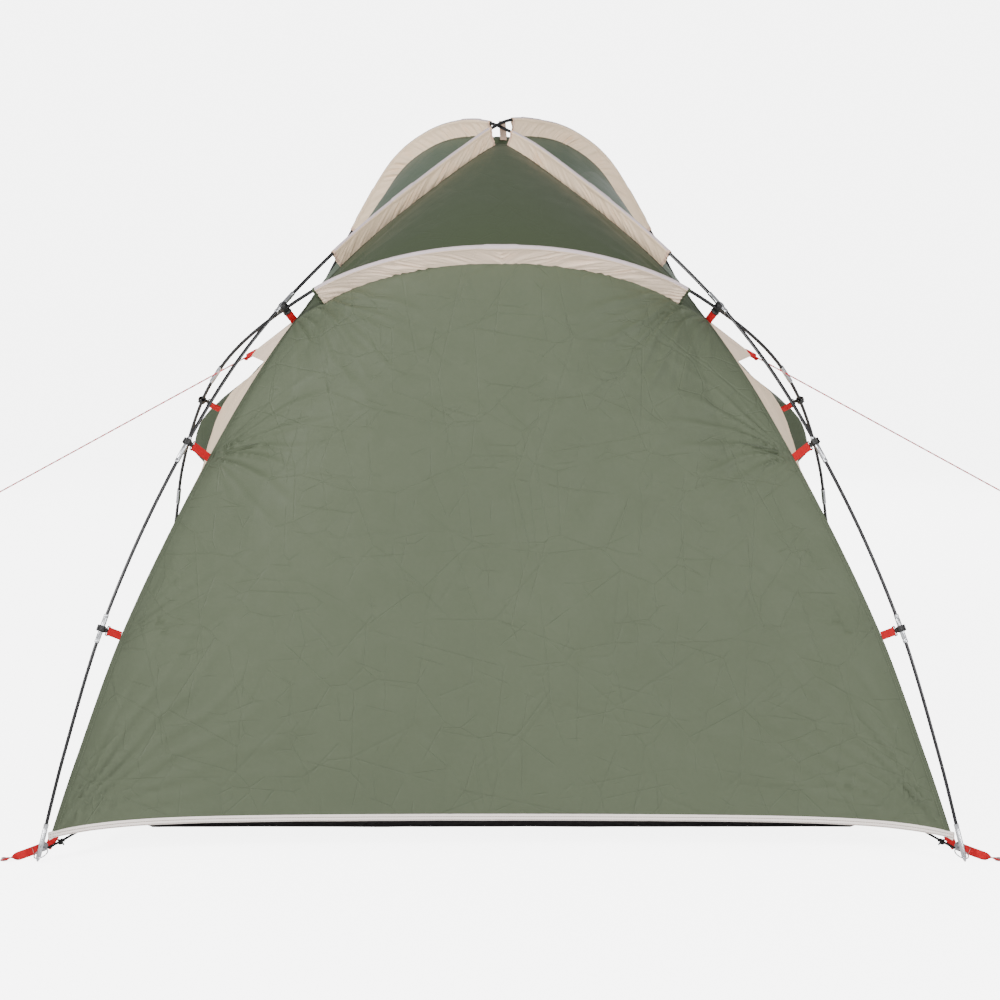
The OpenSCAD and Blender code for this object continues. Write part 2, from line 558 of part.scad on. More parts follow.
// The floor lies flat and its rim flares up to the hems
floor_x = 950;
floor_rear = -750;
floor_front = 850;
rim_h = 74;
rim_flare = 100;
floor_t = 2;
module floor_plate(grow, z) {
    translate([-floor_x - grow, floor_rear - grow, z])
        cube([2 * (floor_x + grow), floor_front - floor_rear + 2 * grow, 0.01]);
}
module groundsheet() {
    color(grey) difference() {
        hull() {
            floor_plate(0, 0);
            floor_plate(rim_flare, rim_h);
        }
        hull() {
            floor_plate(-2 * floor_t, floor_t);
            floor_plate(rim_flare - 2 * floor_t, rim_h + 0.1);
        }
    }
}

// ---------------------------------------------------------------- side vents
module vent_mesh() {
    g = trimmed(side_grid, seam_gap);
    cell = [for (j = [vent_cells[2]:vent_cells[3]]) [for (i = [vent_cells[0]:vent_cells[1]]) g[j][i]]];
    cloth(trimmed(cell, 2), 0.8);
}
module vent_mesh_left() { color(black) vent_mesh(); }
module vent_mesh_right() { color(black) mirror([1, 0, 0]) vent_mesh(); }
// Point of the side panel at column u and row v of its grid, and the direction out of the panel there
function side_at(u, v) = let(i = floor(u), j = floor(v))
    mix(mix(side_grid[j][i], side_grid[j][i + 1], u - i),
        mix(side_grid[j + 1][i], side_grid[j + 1][i + 1], u - i), v - j);
function side_out(u, v) = unit(cross(side_at(u + 0.2, v) - side_at(u, v), side_at(u, v + 0.2) - side_at(u, v)));
hood_columns = [3.9, 7.6];
hood_rows = [6.8, 8.6];
hood_reach = 72;
module vent_hood() {
    cloth([for (g = steps(4)) [for (f = steps(10))
        let(u = mix(hood_columns[0], hood_columns[1], f), v = mix(hood_rows[0], hood_rows[1], g),
            rear_end = pow(max(0, (f - 0.5) / 0.5), 2),
            swell = 5 + hood_reach * sqrt(1 - g) * pow(sin(180 * mix(0.2, 0.8, f)), 0.6) * (1 - 0.7 * rear_end * (1 - g)))
        side_at(u, v) + side_out(u, v) * swell]]);
}
module vent_hood_left() { color(dark_olive) vent_hood(); }
module vent_hood_right() { color(dark_olive) mirror([1, 0, 0]) vent_hood(); }

// ---------------------------------------------------------------- guylines
guy_tip = [-692, -452, 1272];
guy_end = [-1560, -452, 801];
guy_dir = unit(guy_end - guy_tip);
module guy_patch() {
    low = x_seam(-922) + [-9, 10, 4];
    high = x_seam(crossing_s) + [-9, 14, -10];
    cloth([[low, mix(low, guy_tip, 0.94)], [high, mix(high, guy_tip, 0.94)]]);
}
module guy_patch_left() { color(cream) guy_patch(); }
module guy_patch_right() { color(cream) mirror([1, 0, 0]) guy_patch(); }
module guy_loop() { strap(guy_tip + guy_dir * 2, guy_tip + guy_dir * 22, [0, 1, 0.2], 12, 1.5); }
module guy_loop_left() { color(red) guy_loop(); }
module guy_loop_right() { color(red) mirror([1, 0, 0]) guy_loop(); }
loop_gap = 14;
loop_side = unit(cross(guy_dir, [0, 1, 0]));
tail = 90;
loop_turn = [for (a = [0:30:180]) guy_end + guy_dir * (loop_gap / 2 * sin(a))
    + loop_side * (loop_gap / 2 * (1 - cos(a)))];
guy_route = concat(lerp_list(guy_tip + guy_dir * 23, guy_end, 18), [for (i = [1:6]) loop_turn[i]],
    [guy_end + loop_side * loop_gap - guy_dir * (tail * 0.5), guy_end + loop_side * loop_gap - guy_dir * tail]);
module guyline() { swept(guy_route, guy_d / 2, 8); }
module guyline_left() { color(red) guyline(); }
module guyline_right() { color(red) mirror([1, 0, 0]) guyline(); }
runner_len = 26;
module guy_runner() {
    hole = guy_d + 1.4;
    aim(guy_end + loop_side * loop_gap / 2 - guy_dir * 55, guy_dir, loop_side) difference() {
        translate([-13, -4, 0]) cube([26, 8, runner_len]);
        for (x = [-loop_gap / 2, loop_gap / 2]) translate([x, 0, -1]) cylinder(h = runner_len + 2, d = hole, $fn = 32);
    }
}
module guy_runner_left() { color(black) guy_runner(); }
module guy_runner_right() { color(black) mirror([1, 0, 0]) guy_runner(); }

x_pole_left_rods();
x_pole_right_rods();
hoop_pole_rods();
x_pole_left_ferrules();
x_pole_right_ferrules();
hoop_pole_ferrules();
pole_foot_tubes();
corner_rings();
corner_discs();
corner_straps();
peg_straps();
peg_eyelets();
corner_elastics();
elastic_toggles();
leg_clips();
crossing_clips();
clip_webbings();
crossing_webbings();
peak_loop();
peak_patch();
rear_sleeve_left();
rear_sleeve_right();
front_sleeve_left();
front_sleeve_right();
hoop_sleeve();
rear_panel();
rear_roof();
front_roof();
side_panel_left();
side_panel_right();
side_gusset_left();
side_gusset_right();
side_lower_left();
side_lower_right();
front_wall_left();
front_wall_right();
groundsheet();
rear_hem();
side_hem_left();
side_hem_right();
front_hem_left();
front_hem_right();
door();
door_hem();
door_zip_left();
door_zip_right();
zip_slider_left();
zip_slider_right();
vent_mesh_left();
vent_mesh_right();
vent_hood_left();
vent_hood_right();
guy_patch_left();
guy_patch_right();
guy_loop_left();
guy_loop_right();
guyline_left();
guyline_right();
guy_runner_left();
guy_runner_right();
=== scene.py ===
import math
from collections import namedtuple

import bpy
import numpy as np
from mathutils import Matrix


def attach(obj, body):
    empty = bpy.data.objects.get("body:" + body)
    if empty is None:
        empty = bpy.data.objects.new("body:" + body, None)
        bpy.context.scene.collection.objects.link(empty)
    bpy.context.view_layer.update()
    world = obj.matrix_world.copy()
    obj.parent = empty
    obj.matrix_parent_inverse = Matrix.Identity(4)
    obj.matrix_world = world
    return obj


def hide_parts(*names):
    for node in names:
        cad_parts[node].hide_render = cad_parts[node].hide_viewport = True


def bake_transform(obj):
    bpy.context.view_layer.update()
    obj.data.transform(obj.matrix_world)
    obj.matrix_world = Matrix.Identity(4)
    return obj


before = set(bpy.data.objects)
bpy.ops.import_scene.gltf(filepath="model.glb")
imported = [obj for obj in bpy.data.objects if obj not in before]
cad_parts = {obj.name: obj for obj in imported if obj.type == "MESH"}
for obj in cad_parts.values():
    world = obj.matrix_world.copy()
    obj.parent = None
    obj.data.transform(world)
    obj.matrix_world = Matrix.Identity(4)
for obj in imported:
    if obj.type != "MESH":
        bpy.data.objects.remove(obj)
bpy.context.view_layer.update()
scene = bpy.context.scene
MM = 0.001

# ------------------------------------------------------------------ camera
CAMERA_AT = (-0.0033, -6.58, 1.70)
CAMERA_PITCH = 7.816
camera_data = bpy.data.cameras.new("camera")
camera_data.lens = 79.07
camera_data.sensor_width = 36
camera = bpy.data.objects.new("camera", camera_data)
scene.collection.objects.link(camera)
camera.location = CAMERA_AT
camera.rotation_euler = (math.radians(90 - CAMERA_PITCH), 0, 0)
scene.camera = camera

# ------------------------------------------------------------------ lines of the tent, in mm
# They are the lines of the CAD model, apart from the rear hem, which is raised in the middle.
FOOT_X, FOOT_Y = 1200.0, 1080.0
HALF_LEN = math.hypot(FOOT_X, FOOT_Y)
UX, UY = FOOT_X / HALF_LEN, FOOT_Y / HALF_LEN
X_PROFILE = [[-HALF_LEN, 0], [-1530, 263], [-1400, 597], [-1200, 949], [-950, 1275], [-650, 1535],
             [-300, 1760], [0, 1915], [150, 1929], [300, 1898], [450, 1813], [600, 1642], [800, 1385],
             [1000, 1150], [1200, 885], [1400, 563], [1530, 252], [HALF_LEN, 0]]
X_INSET = [[-HALF_LEN, 14], [-1520, 42], [-1380, 68], [-1200, 82], [-1000, 78], [-800, 60], [-640, 46],
           [0, 46], [640, 46], [800, 60], [1000, 78], [1200, 82], [1380, 68], [1520, 42], [HALF_LEN, 14]]
CROSS_GAP, CROSS_FADE = 6, 160
HOOP_Y0, HOOP_LEAN, HOOP_ZC = 1071, 1.15, 500
HOOP_PROFILE = [[0, 1072], [14, 1078], [25, 1082], [33.5, 1078], [45, 1079], [52, 1071], [60, 1055],
                [68, 1044], [79, 1043], [94, 1094], [105, 1180], [113, 1272]]
HOOP_INSET = [[0, 43], [27, 44], [33.5, 62], [42, 98], [52, 66], [60, 58], [79, 60], [94, 60],
              [106, 40], [113, 16]]
CROSSING_ANGLE, CROSSING_S = 33.5, -806
PANEL_FOOT, FRONT_FOOT_S, SIDE_FOOT_S, LEG_END = 24 - HALF_LEN, HALF_LEN - 24, HALF_LEN - 20, 111.5
PEAK_CUT = 34
HEM_H, HEM_LIFT, HEM_BOW, REAR_HEM_RAISE = 18, 18, 80, 6
ROD_R, FERRULE_R, FERRULE_LEN = 4.75, 6.5, 78
X_JOINTS = [-1405, -1140, -800, -375, 120, 570, 900, 1190, 1430]
HOOP_JOINTS = [-96, -74, -49.2, 0, 49.2, 74, 96]
HOOP_ROD_END = 110.6
CLIP_S, CLIP_ANGLES = [-1405, -1126, 1126, 1405], [54.5, 84]
UP = np.array([0.0, 0.0, 1.0])


def along(points, at):
    """Smooth curve through [coordinate, value] pairs."""
    k = np.array(points, float)
    at = np.asarray(at, float)
    n = len(k)
    before, after = np.maximum(np.arange(n) - 1, 0), np.minimum(np.arange(n) + 1, n - 1)
    slopes = (k[after, 1] - k[before, 1]) / (k[after, 0] - k[before, 0])
    i = np.clip(np.searchsorted(k[:, 0], at, side="right") - 1, 0, n - 2)
    h = k[i + 1, 0] - k[i, 0]
    f = (at - k[i, 0]) / h
    return ((2 * f**3 - 3 * f**2 + 1) * k[i, 1] + (f**3 - 2 * f**2 + f) * slopes[i] * h
            + (3 * f**2 - 2 * f**3) * k[i + 1, 1] + (f**3 - f**2) * slopes[i + 1] * h)


def points(x, y, z):
    return np.stack(np.broadcast_arrays(np.asarray(x, float), y, z), axis=-1)


def unit(v):
    v = np.asarray(v, float)
    return v / np.maximum(np.linalg.norm(v, axis=-1, keepdims=True), 1e-9)


def same(p):
    return p


def flip(p):
    return np.asarray(p, float) * [-1, 1, 1]


def mix(a, b, f):
    return np.asarray(a, float) + (np.asarray(b, float) - np.asarray(a, float)) * f


def smooth(x):
    x = np.clip(x, 0, 1)
    return x * x * (3 - 2 * x)


def x_pole(s, over=0):
    """Point on a long pole: s is 0 at the crossing and negative to the rear."""
    s = np.asarray(s, float)
    lift = over * CROSS_GAP * 0.5 * (1 + np.cos(np.pi * np.clip(s / CROSS_FADE, -1, 1)))
    return points(UX * s, UY * s, along(X_PROFILE, s) + lift)


def x_in(s):
    """Direction from a long pole to the canopy below it."""
    s = np.asarray(s, float)
    dz = (along(X_PROFILE, s + 2) - along(X_PROFILE, s - 2)) / 4
    return unit(points(UX * dz, UY * dz, -1.0))


def x_seam(s):
    """Point of the canopy's seam below a long pole."""
    return x_pole(s) + along(X_INSET, s)[..., None] * x_in(s)


def hoop_at(a, r):
    """Point in the plane of the hoop: a degrees from its top and r from its centre, as seen from the rear."""
    a = np.radians(np.asarray(a, float))
    z = HOOP_ZC + r * np.cos(a)
    return points(r * np.sin(a), HOOP_Y0 - HOOP_LEAN * z, z)


def hoop_pole(a):
    return hoop_at(a, along(HOOP_PROFILE, np.abs(a)))


def hoop_seam(a):
    return hoop_at(a, along(HOOP_PROFILE, np.abs(a)) - along(HOOP_INSET, np.abs(a)))


JOIN_LEFT = x_seam(CROSSING_S)
SEAM_STEP = JOIN_LEFT - hoop_seam(-CROSSING_ANGLE)


def leg_seam(a):
    """Seam below a leg of the hoop, which runs into the long pole's seam where they cross."""
    a = np.asarray(a, float)
    return hoop_seam(-a) + np.clip((60 - a) / (60 - CROSSING_ANGLE), 0, 1)[..., None] * SEAM_STEP


# ------------------------------------------------------------------ shapes made from points, in mm
# lay holds, for each point, where it is on the flat cloth: along, across and the distance to a border.
Shape = namedtuple("Shape", "verts faces lay")


def join(shapes):
    verts, faces, lay, start = [], [], [], 0
    for s in shapes:
        verts.append(s.verts)
        lay.append(s.lay)
        faces += [tuple(i + start for i in f) for f in s.faces]
        start += len(s.verts)
    return Shape(np.concatenate(verts), faces, np.concatenate(lay))


def mirrored(shape, axis=0):
    verts = shape.verts.copy()
    verts[:, axis] *= -1
    return Shape(verts, [tuple(reversed(f)) for f in shape.faces], shape.lay)


def both_sides(shape):
    return join([shape, mirrored(shape)])


def four_corners(shape):
    return both_sides(join([shape, mirrored(shape, 1)]))


def normals_of(g):
    return unit(np.cross(np.gradient(g, axis=1), np.gradient(g, axis=0)))


def measured(g):
    """Distances on a grid: from its side borders along rows, from its low and top borders up columns."""
    rows = np.linalg.norm(np.diff(g, axis=1), axis=2)
    cols = np.linalg.norm(np.diff(g, axis=0), axis=2)
    left = np.concatenate([np.zeros((len(g), 1)), np.cumsum(rows, axis=1)], axis=1)
    low = np.concatenate([np.zeros((1, g.shape[1])), np.cumsum(cols, axis=0)], axis=0)
    return left, left[:, -1:] - left, low, low[-1:, :] - low


def cloth_solid(g, thick, hole=None, lay=None):
    """Thin closed solid whose outer face is the grid g. hole = (i0, i1, j0, j1) leaves grid cells out."""
    m, n = g.shape[0] - 1, g.shape[1] - 1
    back = g - thick * normals_of(g)
    if lay is None:
        left, right, low, top = measured(g)
        edge = np.minimum(np.minimum(left, right), np.minimum(low, top))
        lay = np.stack([left - left[:, -1:] / 2, low, edge], axis=-1)
    used = np.ones((m, n), bool)
    if hole:
        used[hole[2]:hole[3], hole[0]:hole[1]] = False
    index = np.arange((m + 1) * (n + 1)).reshape(m + 1, n + 1)
    a, b, c, d = index[:-1, :-1], index[:-1, 1:], index[1:, 1:], index[1:, :-1]
    count = index.size
    front = np.stack([a, b, c, d], axis=-1)[used]
    faces = [tuple(f) for f in front.tolist()] + [tuple(f) for f in (front[:, ::-1] + count).tolist()]
    wide = np.pad(used, 1)
    rims = ((wide[:-2, 1:-1], b, a), (wide[2:, 1:-1], d, c), (wide[1:-1, :-2], a, d), (wide[1:-1, 2:], c, b))
    for neighbour, p, q in rims:
        open_edge = used & ~neighbour
        for i, j in zip(p[open_edge].tolist(), q[open_edge].tolist()):
            faces.append((i, j, j + count, i + count))
    verts = np.concatenate([g.reshape(-1, 3), back.reshape(-1, 3)])
    return drop_unused(Shape(verts, faces, np.concatenate([lay.reshape(-1, 3)] * 2)))


def drop_unused(shape):
    seen = np.zeros(len(shape.verts), bool)
    seen[np.concatenate([np.array(f) for f in shape.faces])] = True
    order = np.cumsum(seen) - 1
    return Shape(shape.verts[seen], [tuple(int(order[i]) for i in f) for f in shape.faces], shape.lay[seen])


def sweep(path, section, hint, scale=None):
    """Closed solid: section, as (a, b) pairs, is carried along path with a as near to hint as it can be."""
    path = np.asarray(path, float)
    t = unit(np.gradient(path, axis=0))
    hint = np.broadcast_to(np.asarray(hint, float), path.shape)
    a = unit(hint - np.sum(hint * t, axis=1, keepdims=True) * t)
    b = np.cross(t, a)
    section = np.asarray(section, float)
    if scale is None:
        scale = np.ones(len(path))
    ring = section[None, :, :] * np.asarray(scale, float)[:, None, None]
    verts = path[:, None, :] + ring[..., :1] * a[:, None, :] + ring[..., 1:] * b[:, None, :]
    n, k = len(path), len(section)
    i, j = np.meshgrid(np.arange(n - 1), np.arange(k), indexing="ij")
    j2 = (j + 1) % k
    quads = np.stack([i * k + j, i * k + j2, (i + 1) * k + j2, (i + 1) * k + j], axis=-1).reshape(-1, 4)
    faces = [tuple(q) for q in quads.tolist()]
    faces += [tuple(range(k - 1, -1, -1)), tuple((n - 1) * k + x for x in range(k))]
    run = np.concatenate([[0], np.cumsum(np.linalg.norm(np.diff(path, axis=0), axis=1))])
    around = np.concatenate([[0], np.cumsum(np.linalg.norm(np.diff(section, axis=0), axis=1))])
    lay = np.stack(np.broadcast_arrays(run[:, None], section[None, :, 0], around[None, :]), axis=-1)
    return Shape(verts.reshape(-1, 3), faces, lay.reshape(-1, 3))


def round_section(radius, sides=16):
    a = np.linspace(0, 2 * np.pi, sides, endpoint=False)
    return radius * np.stack([np.cos(a), np.sin(a)], axis=1)


def strap_section(width, thick):
    """Flat oval, wide along a, with rounded edges and points across for the weave."""
    w, t = width / 2, thick / 2
    top = [(x, t) for x in np.linspace(-w + t, w - t, 7)]
    return np.array(top[::-1] + [(-w, 0)] + [(x, -y) for x, y in top] + [(w, 0)])


def lathe(profile, at, axis, sides=40, lobes=0, depth=0.0):
    """Closed solid turned about axis: profile holds (height, radius) pairs."""
    axis = unit(axis)
    side = unit(np.cross(axis, [0.3, 0.9, 0.2]))
    other = np.cross(axis, side)
    a = np.linspace(0, 2 * np.pi, sides, endpoint=False)
    swell = 1 + depth * np.cos(lobes * a)
    profile = np.asarray(profile, float)
    out = np.cos(a)[:, None] * side + np.sin(a)[:, None] * other
    verts = np.asarray(at, float) + profile[:, :1, None] * axis + (
        profile[:, 1:, None] * (out * swell[:, None])[None])
    n, k = len(profile), sides
    faces = [(i * k + j, i * k + (j + 1) % k, (i + 1) * k + (j + 1) % k, (i + 1) * k + j)
             for i in range(n - 1) for j in range(k)]
    faces += [tuple(range(k - 1, -1, -1)), tuple((n - 1) * k + x for x in range(k))]
    lay = np.stack(np.broadcast_arrays(profile[:, :1], a[None, :] / (2 * np.pi), 0.0), axis=-1)
    return Shape(verts.reshape(-1, 3), faces, lay.reshape(-1, 3))


# ------------------------------------------------------------------ wrinkles
def noise(x, y, seed):
    """Smooth noise from about -1 to 1, with one cell for each unit of x and y."""
    spin = np.random.RandomState(int(seed) % 9973).rand(128, 128) * 2 * np.pi
    xi, yi = np.floor(x).astype(int), np.floor(y).astype(int)
    fx, fy = x - xi, y - yi

    def corner(i, j):
        a = spin[(xi + i) % 128, (yi + j) % 128]
        return np.cos(a) * (fx - i) + np.sin(a) * (fy - j)

    wx, wy = fx**3 * (fx * (fx * 6 - 15) + 10), fy**3 * (fy * (fy * 6 - 15) + 10)
    return 1.4 * mix(mix(corner(0, 0), corner(1, 0), wx), mix(corner(0, 1), corner(1, 1), wx), wy)


def creases(x, y, seed, count, reach, depth, lean=None):
    """Sharp, almost straight creases left by folding, at random places."""
    rng = np.random.RandomState(int(seed) % 9973)
    out = np.zeros_like(x)
    for _ in range(count):
        cx, cy = rng.uniform(x.min(), x.max()), rng.uniform(y.min(), y.max())
        angle = rng.uniform(0, np.pi) if lean is None else rng.normal(lean * np.sign(cx), 0.5)
        half, width = reach * rng.uniform(0.3, 1), rng.uniform(10, 34)
        dx, dy = x - cx, y - cy
        run = dx * np.cos(angle) + dy * np.sin(angle)
        off = dy * np.cos(angle) - dx * np.sin(angle) + rng.uniform(-1, 1) * run**2 / (reach * 6)
        height = rng.choice((-1, 1)) * depth * rng.uniform(0.3, 1)
        out += height * np.exp(-np.abs(off) / width - (run / half) ** 4)
    return out


def fan(x, y, at, spread, count, reach, depth, seed):
    """Folds that fan out from a point where the cloth is pulled."""
    dx, dy = x - at[0], y - at[1]
    r = np.hypot(dx, dy)
    towards = math.atan2(y.mean() - at[1], x.mean() - at[0])
    a = np.angle(np.exp(1j * (np.arctan2(dy, dx) - towards)))
    window = smooth(1.25 * (1 - np.abs(a) / spread))
    phase = 1.7 * a * count / spread * np.pi + 1.6 * noise(r / 140 + 7, a * 2.2 + 5, seed)
    folds = 1.7 * (0.5 + 0.5 * np.cos(phase)) ** 4 - 0.45
    fade = 0.55 + 0.45 * noise(a * 4 + 3, r / 200 + 9, seed + 1)
    return 2.0 * depth * window * folds * fade * r / (r + 22) * np.exp(-((r / reach) ** 1.3))


Panel = namedtuple("Panel", "grid smooth_grid")       # with and without its wrinkles


def coons(left, right, low, top, u, v):
    """Grid of the patch between four lines: left and right run upwards, low and top from left to right."""
    lines_l, lines_r, lines_b, lines_t = left(v), right(v), low(u), top(u)
    uu = u[:, None]
    lines_b = lines_b + (lines_l[0] - lines_b[0]) * (1 - uu) + (lines_r[0] - lines_b[-1]) * uu
    lines_t = lines_t + (lines_l[-1] - lines_t[0]) * (1 - uu) + (lines_r[-1] - lines_t[-1]) * uu
    u3, v3 = u[None, :, None], v[:, None, None]
    ruled = mix(lines_l[:, None], lines_r[:, None], u3) + mix(lines_b[None], lines_t[None], v3)
    corners = mix(mix(lines_l[0], lines_r[0], u3), mix(lines_l[-1], lines_r[-1], u3), v3)
    return ruled - corners


def relieved(g, relief, keep=16):
    """The grid with its wrinkles; they fade out towards the borders, over keep."""
    left, right, low, top = measured(g)
    x, y = left - left[:, -1:] / 2, low
    edge = np.minimum(np.minimum(left, right), np.minimum(low, top))
    height = relief(x, y, lambda p: place_on(g, x, y, p)) * smooth(edge / keep)
    return g + height[..., None] * normals_of(g)


def place_on(g, x, y, p):
    """Where on the cloth the grid comes nearest to the point p."""
    i = np.argmin(np.linalg.norm(g - np.asarray(p, float), axis=2))
    return x.flat[i], y.flat[i]


def make_panel(left, right, low, top, nu, nv, relief, keep=16):
    u, v = np.linspace(0, 1, nu + 1), np.linspace(0, 1, nv + 1)
    g = coons(left, right, low, top, u, v)
    return Panel(relieved(g, relief, keep), g)


def mirror_panel(p):
    return Panel(flip(p.grid[:, ::-1]), flip(p.smooth_grid[:, ::-1]))


def sample(g, fu, fv):
    """Points of a grid at shares fu of its columns and fv of its rows."""
    m, n = g.shape[0] - 1, g.shape[1] - 1
    x, y = np.clip(fu, 0, 1) * n, np.clip(fv, 0, 1) * m
    i, j = np.minimum(x.astype(int), n - 1), np.minimum(y.astype(int), m - 1)
    fx, fy = (x - i)[..., None], (y - j)[..., None]
    return mix(mix(g[j, i], g[j, i + 1], fx), mix(g[j + 1, i], g[j + 1, i + 1], fx), fy)


def seam_tape(panel, side, width, seed, lift=1.1):
    """Flat-felled seam: a narrow doubled band of cloth sewn along one border of a panel."""
    g = panel.grid
    normal = normals_of(g)
    left, right, low, top = measured(g)
    rows = side in ("left", "right")
    lengths = left[:, -1] if rows else low[-1, :]
    line = {"left": g[:, 0], "right": g[:, -1], "low": g[0], "top": g[-1]}[side]
    total = np.linalg.norm(np.diff(line, axis=0), axis=1).sum()
    f = np.linspace(0, 1, int(total / 9) + 2)
    across = np.linspace(0, 1, 7)
    ff, aa = np.meshgrid(f, across, indexing="ij")
    share = width * aa / np.interp(ff, np.linspace(0, 1, len(lengths)), lengths)
    if side in ("right", "top"):
        share = 1 - share
    fu, fv = (share, ff) if rows else (ff, share)
    proud = lift * np.sin(np.pi * np.clip(aa, 0.02, 0.98)) ** 0.35
    pucker = 0.35 * noise(ff * total / 16, aa * 1.5 + seed, seed) * np.sin(np.pi * aa)
    out = sample(g, fu, fv) + unit(sample(normal, fu, fv)) * (proud + pucker)[..., None]
    lay = np.stack([ff * total, aa * width, np.minimum(aa, 1 - aa) * width], axis=-1)
    if side in ("right", "low"):
        out, lay = out[:, ::-1], lay[:, ::-1]
    return cloth_solid(out, 1.0, lay=lay)


def seams(panel, sides, width, seed, step=0):
    return join([seam_tape(panel, side, width, seed + step * k) for k, side in enumerate(sides)])


# ------------------------------------------------------------------ materials
STITCH_PITCH = 0.0042


class Look:
    """A node material; its methods add nodes and return what comes out of them."""

    def __init__(self, name, color, roughness, metallic=0.0, sheen=0.0):
        self.mat = bpy.data.materials.new(name)
        self.mat.use_nodes = True
        self.nodes, self.links = self.mat.node_tree.nodes, self.mat.node_tree.links
        self.shader = self.nodes["Principled BSDF"]
        self.mat.diffuse_color = (*color, 1)
        for socket, value in (("Base Color", (*color, 1)), ("Roughness", roughness), ("Metallic", metallic),
                              ("Sheen Weight", sheen), ("Sheen Roughness", 0.45)):
            self.shader.inputs[socket].default_value = value

    def put(self, socket, value):
        if isinstance(value, bpy.types.NodeSocket):
            self.links.new(value, socket)
        else:
            socket.default_value = value

    def math(self, operation, *values):
        node = self.nodes.new("ShaderNodeMath")
        node.operation = operation
        for socket, value in zip(node.inputs, values):
            self.put(socket, value)
        return node.outputs[0]

    def lay(self):
        """Along, across and edge distance on the cloth, in metres."""
        node = self.nodes.new("ShaderNodeAttribute")
        node.attribute_name = "lay"
        split = self.nodes.new("ShaderNodeSeparateXYZ")
        self.links.new(node.outputs["Vector"], split.inputs[0])
        return split.outputs

    def where(self, turn=(0, 0, 0), stretch=(1, 1, 1)):
        coordinate = self.nodes.new("ShaderNodeTexCoord")
        mapping = self.nodes.new("ShaderNodeMapping")
        mapping.inputs["Rotation"].default_value = turn
        mapping.inputs["Scale"].default_value = stretch
        self.links.new(coordinate.outputs["Object"], mapping.inputs["Vector"])
        return mapping.outputs[0]

    def noise(self, scale, detail=2.0):
        node = self.nodes.new("ShaderNodeTexNoise")
        node.inputs["Scale"].default_value = scale
        node.inputs["Detail"].default_value = detail
        self.links.new(self.where(), node.inputs["Vector"])
        return node.outputs["Fac"]

    def fold_lines(self, scale, turn, stretch, width, kept):
        """Long straight creases: borders of large cells, kept only in patches."""
        cells = self.nodes.new("ShaderNodeTexVoronoi")
        cells.feature = "DISTANCE_TO_EDGE"
        cells.inputs["Scale"].default_value = scale
        self.links.new(self.where(turn, stretch), cells.inputs["Vector"])
        line = self.ramp(cells.outputs["Distance"], 0.0, width * scale, 1.0, 0.0)
        patch = self.ramp(self.noise(scale * 0.9 + turn[0]), kept, kept + 0.12)
        return self.math("MULTIPLY", line, patch)

    def ramp(self, value, low, high, out_low=0.0, out_high=1.0):
        node = self.nodes.new("ShaderNodeMapRange")
        node.interpolation_type = "SMOOTHSTEP"
        for name, x in (("Value", value), ("From Min", low), ("From Max", high),
                        ("To Min", out_low), ("To Max", out_high)):
            self.put(node.inputs[name], x)
        return node.outputs[0]

    def tint(self, factor, a, b):
        node = self.nodes.new("ShaderNodeMix")
        node.data_type = "RGBA"
        self.put(node.inputs["Factor"], factor)
        for socket, value in ((node.inputs[6], a), (node.inputs[7], b)):
            self.put(socket, (*value, 1) if isinstance(value, tuple) else value)
        return node.outputs[2]

    def bump(self, height, distance, strength=1.0, below=None):
        node = self.nodes.new("ShaderNodeBump")
        node.inputs["Strength"].default_value = strength
        node.inputs["Distance"].default_value = distance
        self.links.new(height, node.inputs["Height"])
        if below is not None:
            self.links.new(below, node.inputs["Normal"])
        return node.outputs[0]

    def finish(self, color, roughness, normal):
        for socket, value in (("Base Color", color), ("Roughness", roughness), ("Normal", normal)):
            if value is not None:
                self.links.new(value, self.shader.inputs[socket])
        return self.mat

    def wave(self, value, period):
        """Ridges across value, one for each period, from 0 to 1."""
        turn = self.math("MULTIPLY", value, 2 * math.pi / period)
        return self.math("MULTIPLY_ADD", self.math("SINE", turn), 0.5, 0.5)

    def stitches(self, run, across, rows):
        """1 on a stitch and 0 beside it, for rows at these places across."""
        found = None
        for row in rows:
            near = self.math("LESS_THAN", self.math("ABSOLUTE", self.math("SUBTRACT", across, row)), 0.00065)
            found = near if found is None else self.math("MAXIMUM", found, near)
        dash = self.math("LESS_THAN", self.math("FRACT", self.math("DIVIDE", run, STITCH_PITCH)), 0.72)
        return self.math("MULTIPLY", found, dash)


def darker(color, share):
    return tuple(c * share for c in color)


# Families of creases in cloth: cells per metre, turn, stretch, line width in metres, and how much is left out
FOLDS = (
    (3.2, (0.3, 0.2, 0.5), (1, 1, 0.3), 0.0035, 0.40),
    (4.6, (0.9, 0.7, 1.9), (1, 0.35, 1), 0.003, 0.42),
    (6.5, (1.4, 0.2, 2.6), (0.4, 1, 1), 0.0028, 0.44),
    (9.0, (2.0, 1.1, 0.1), (1, 1, 0.35), 0.0025, 0.46),
    (12.0, (0.2, 2.1, 0.9), (0.5, 1, 1), 0.0022, 0.50))


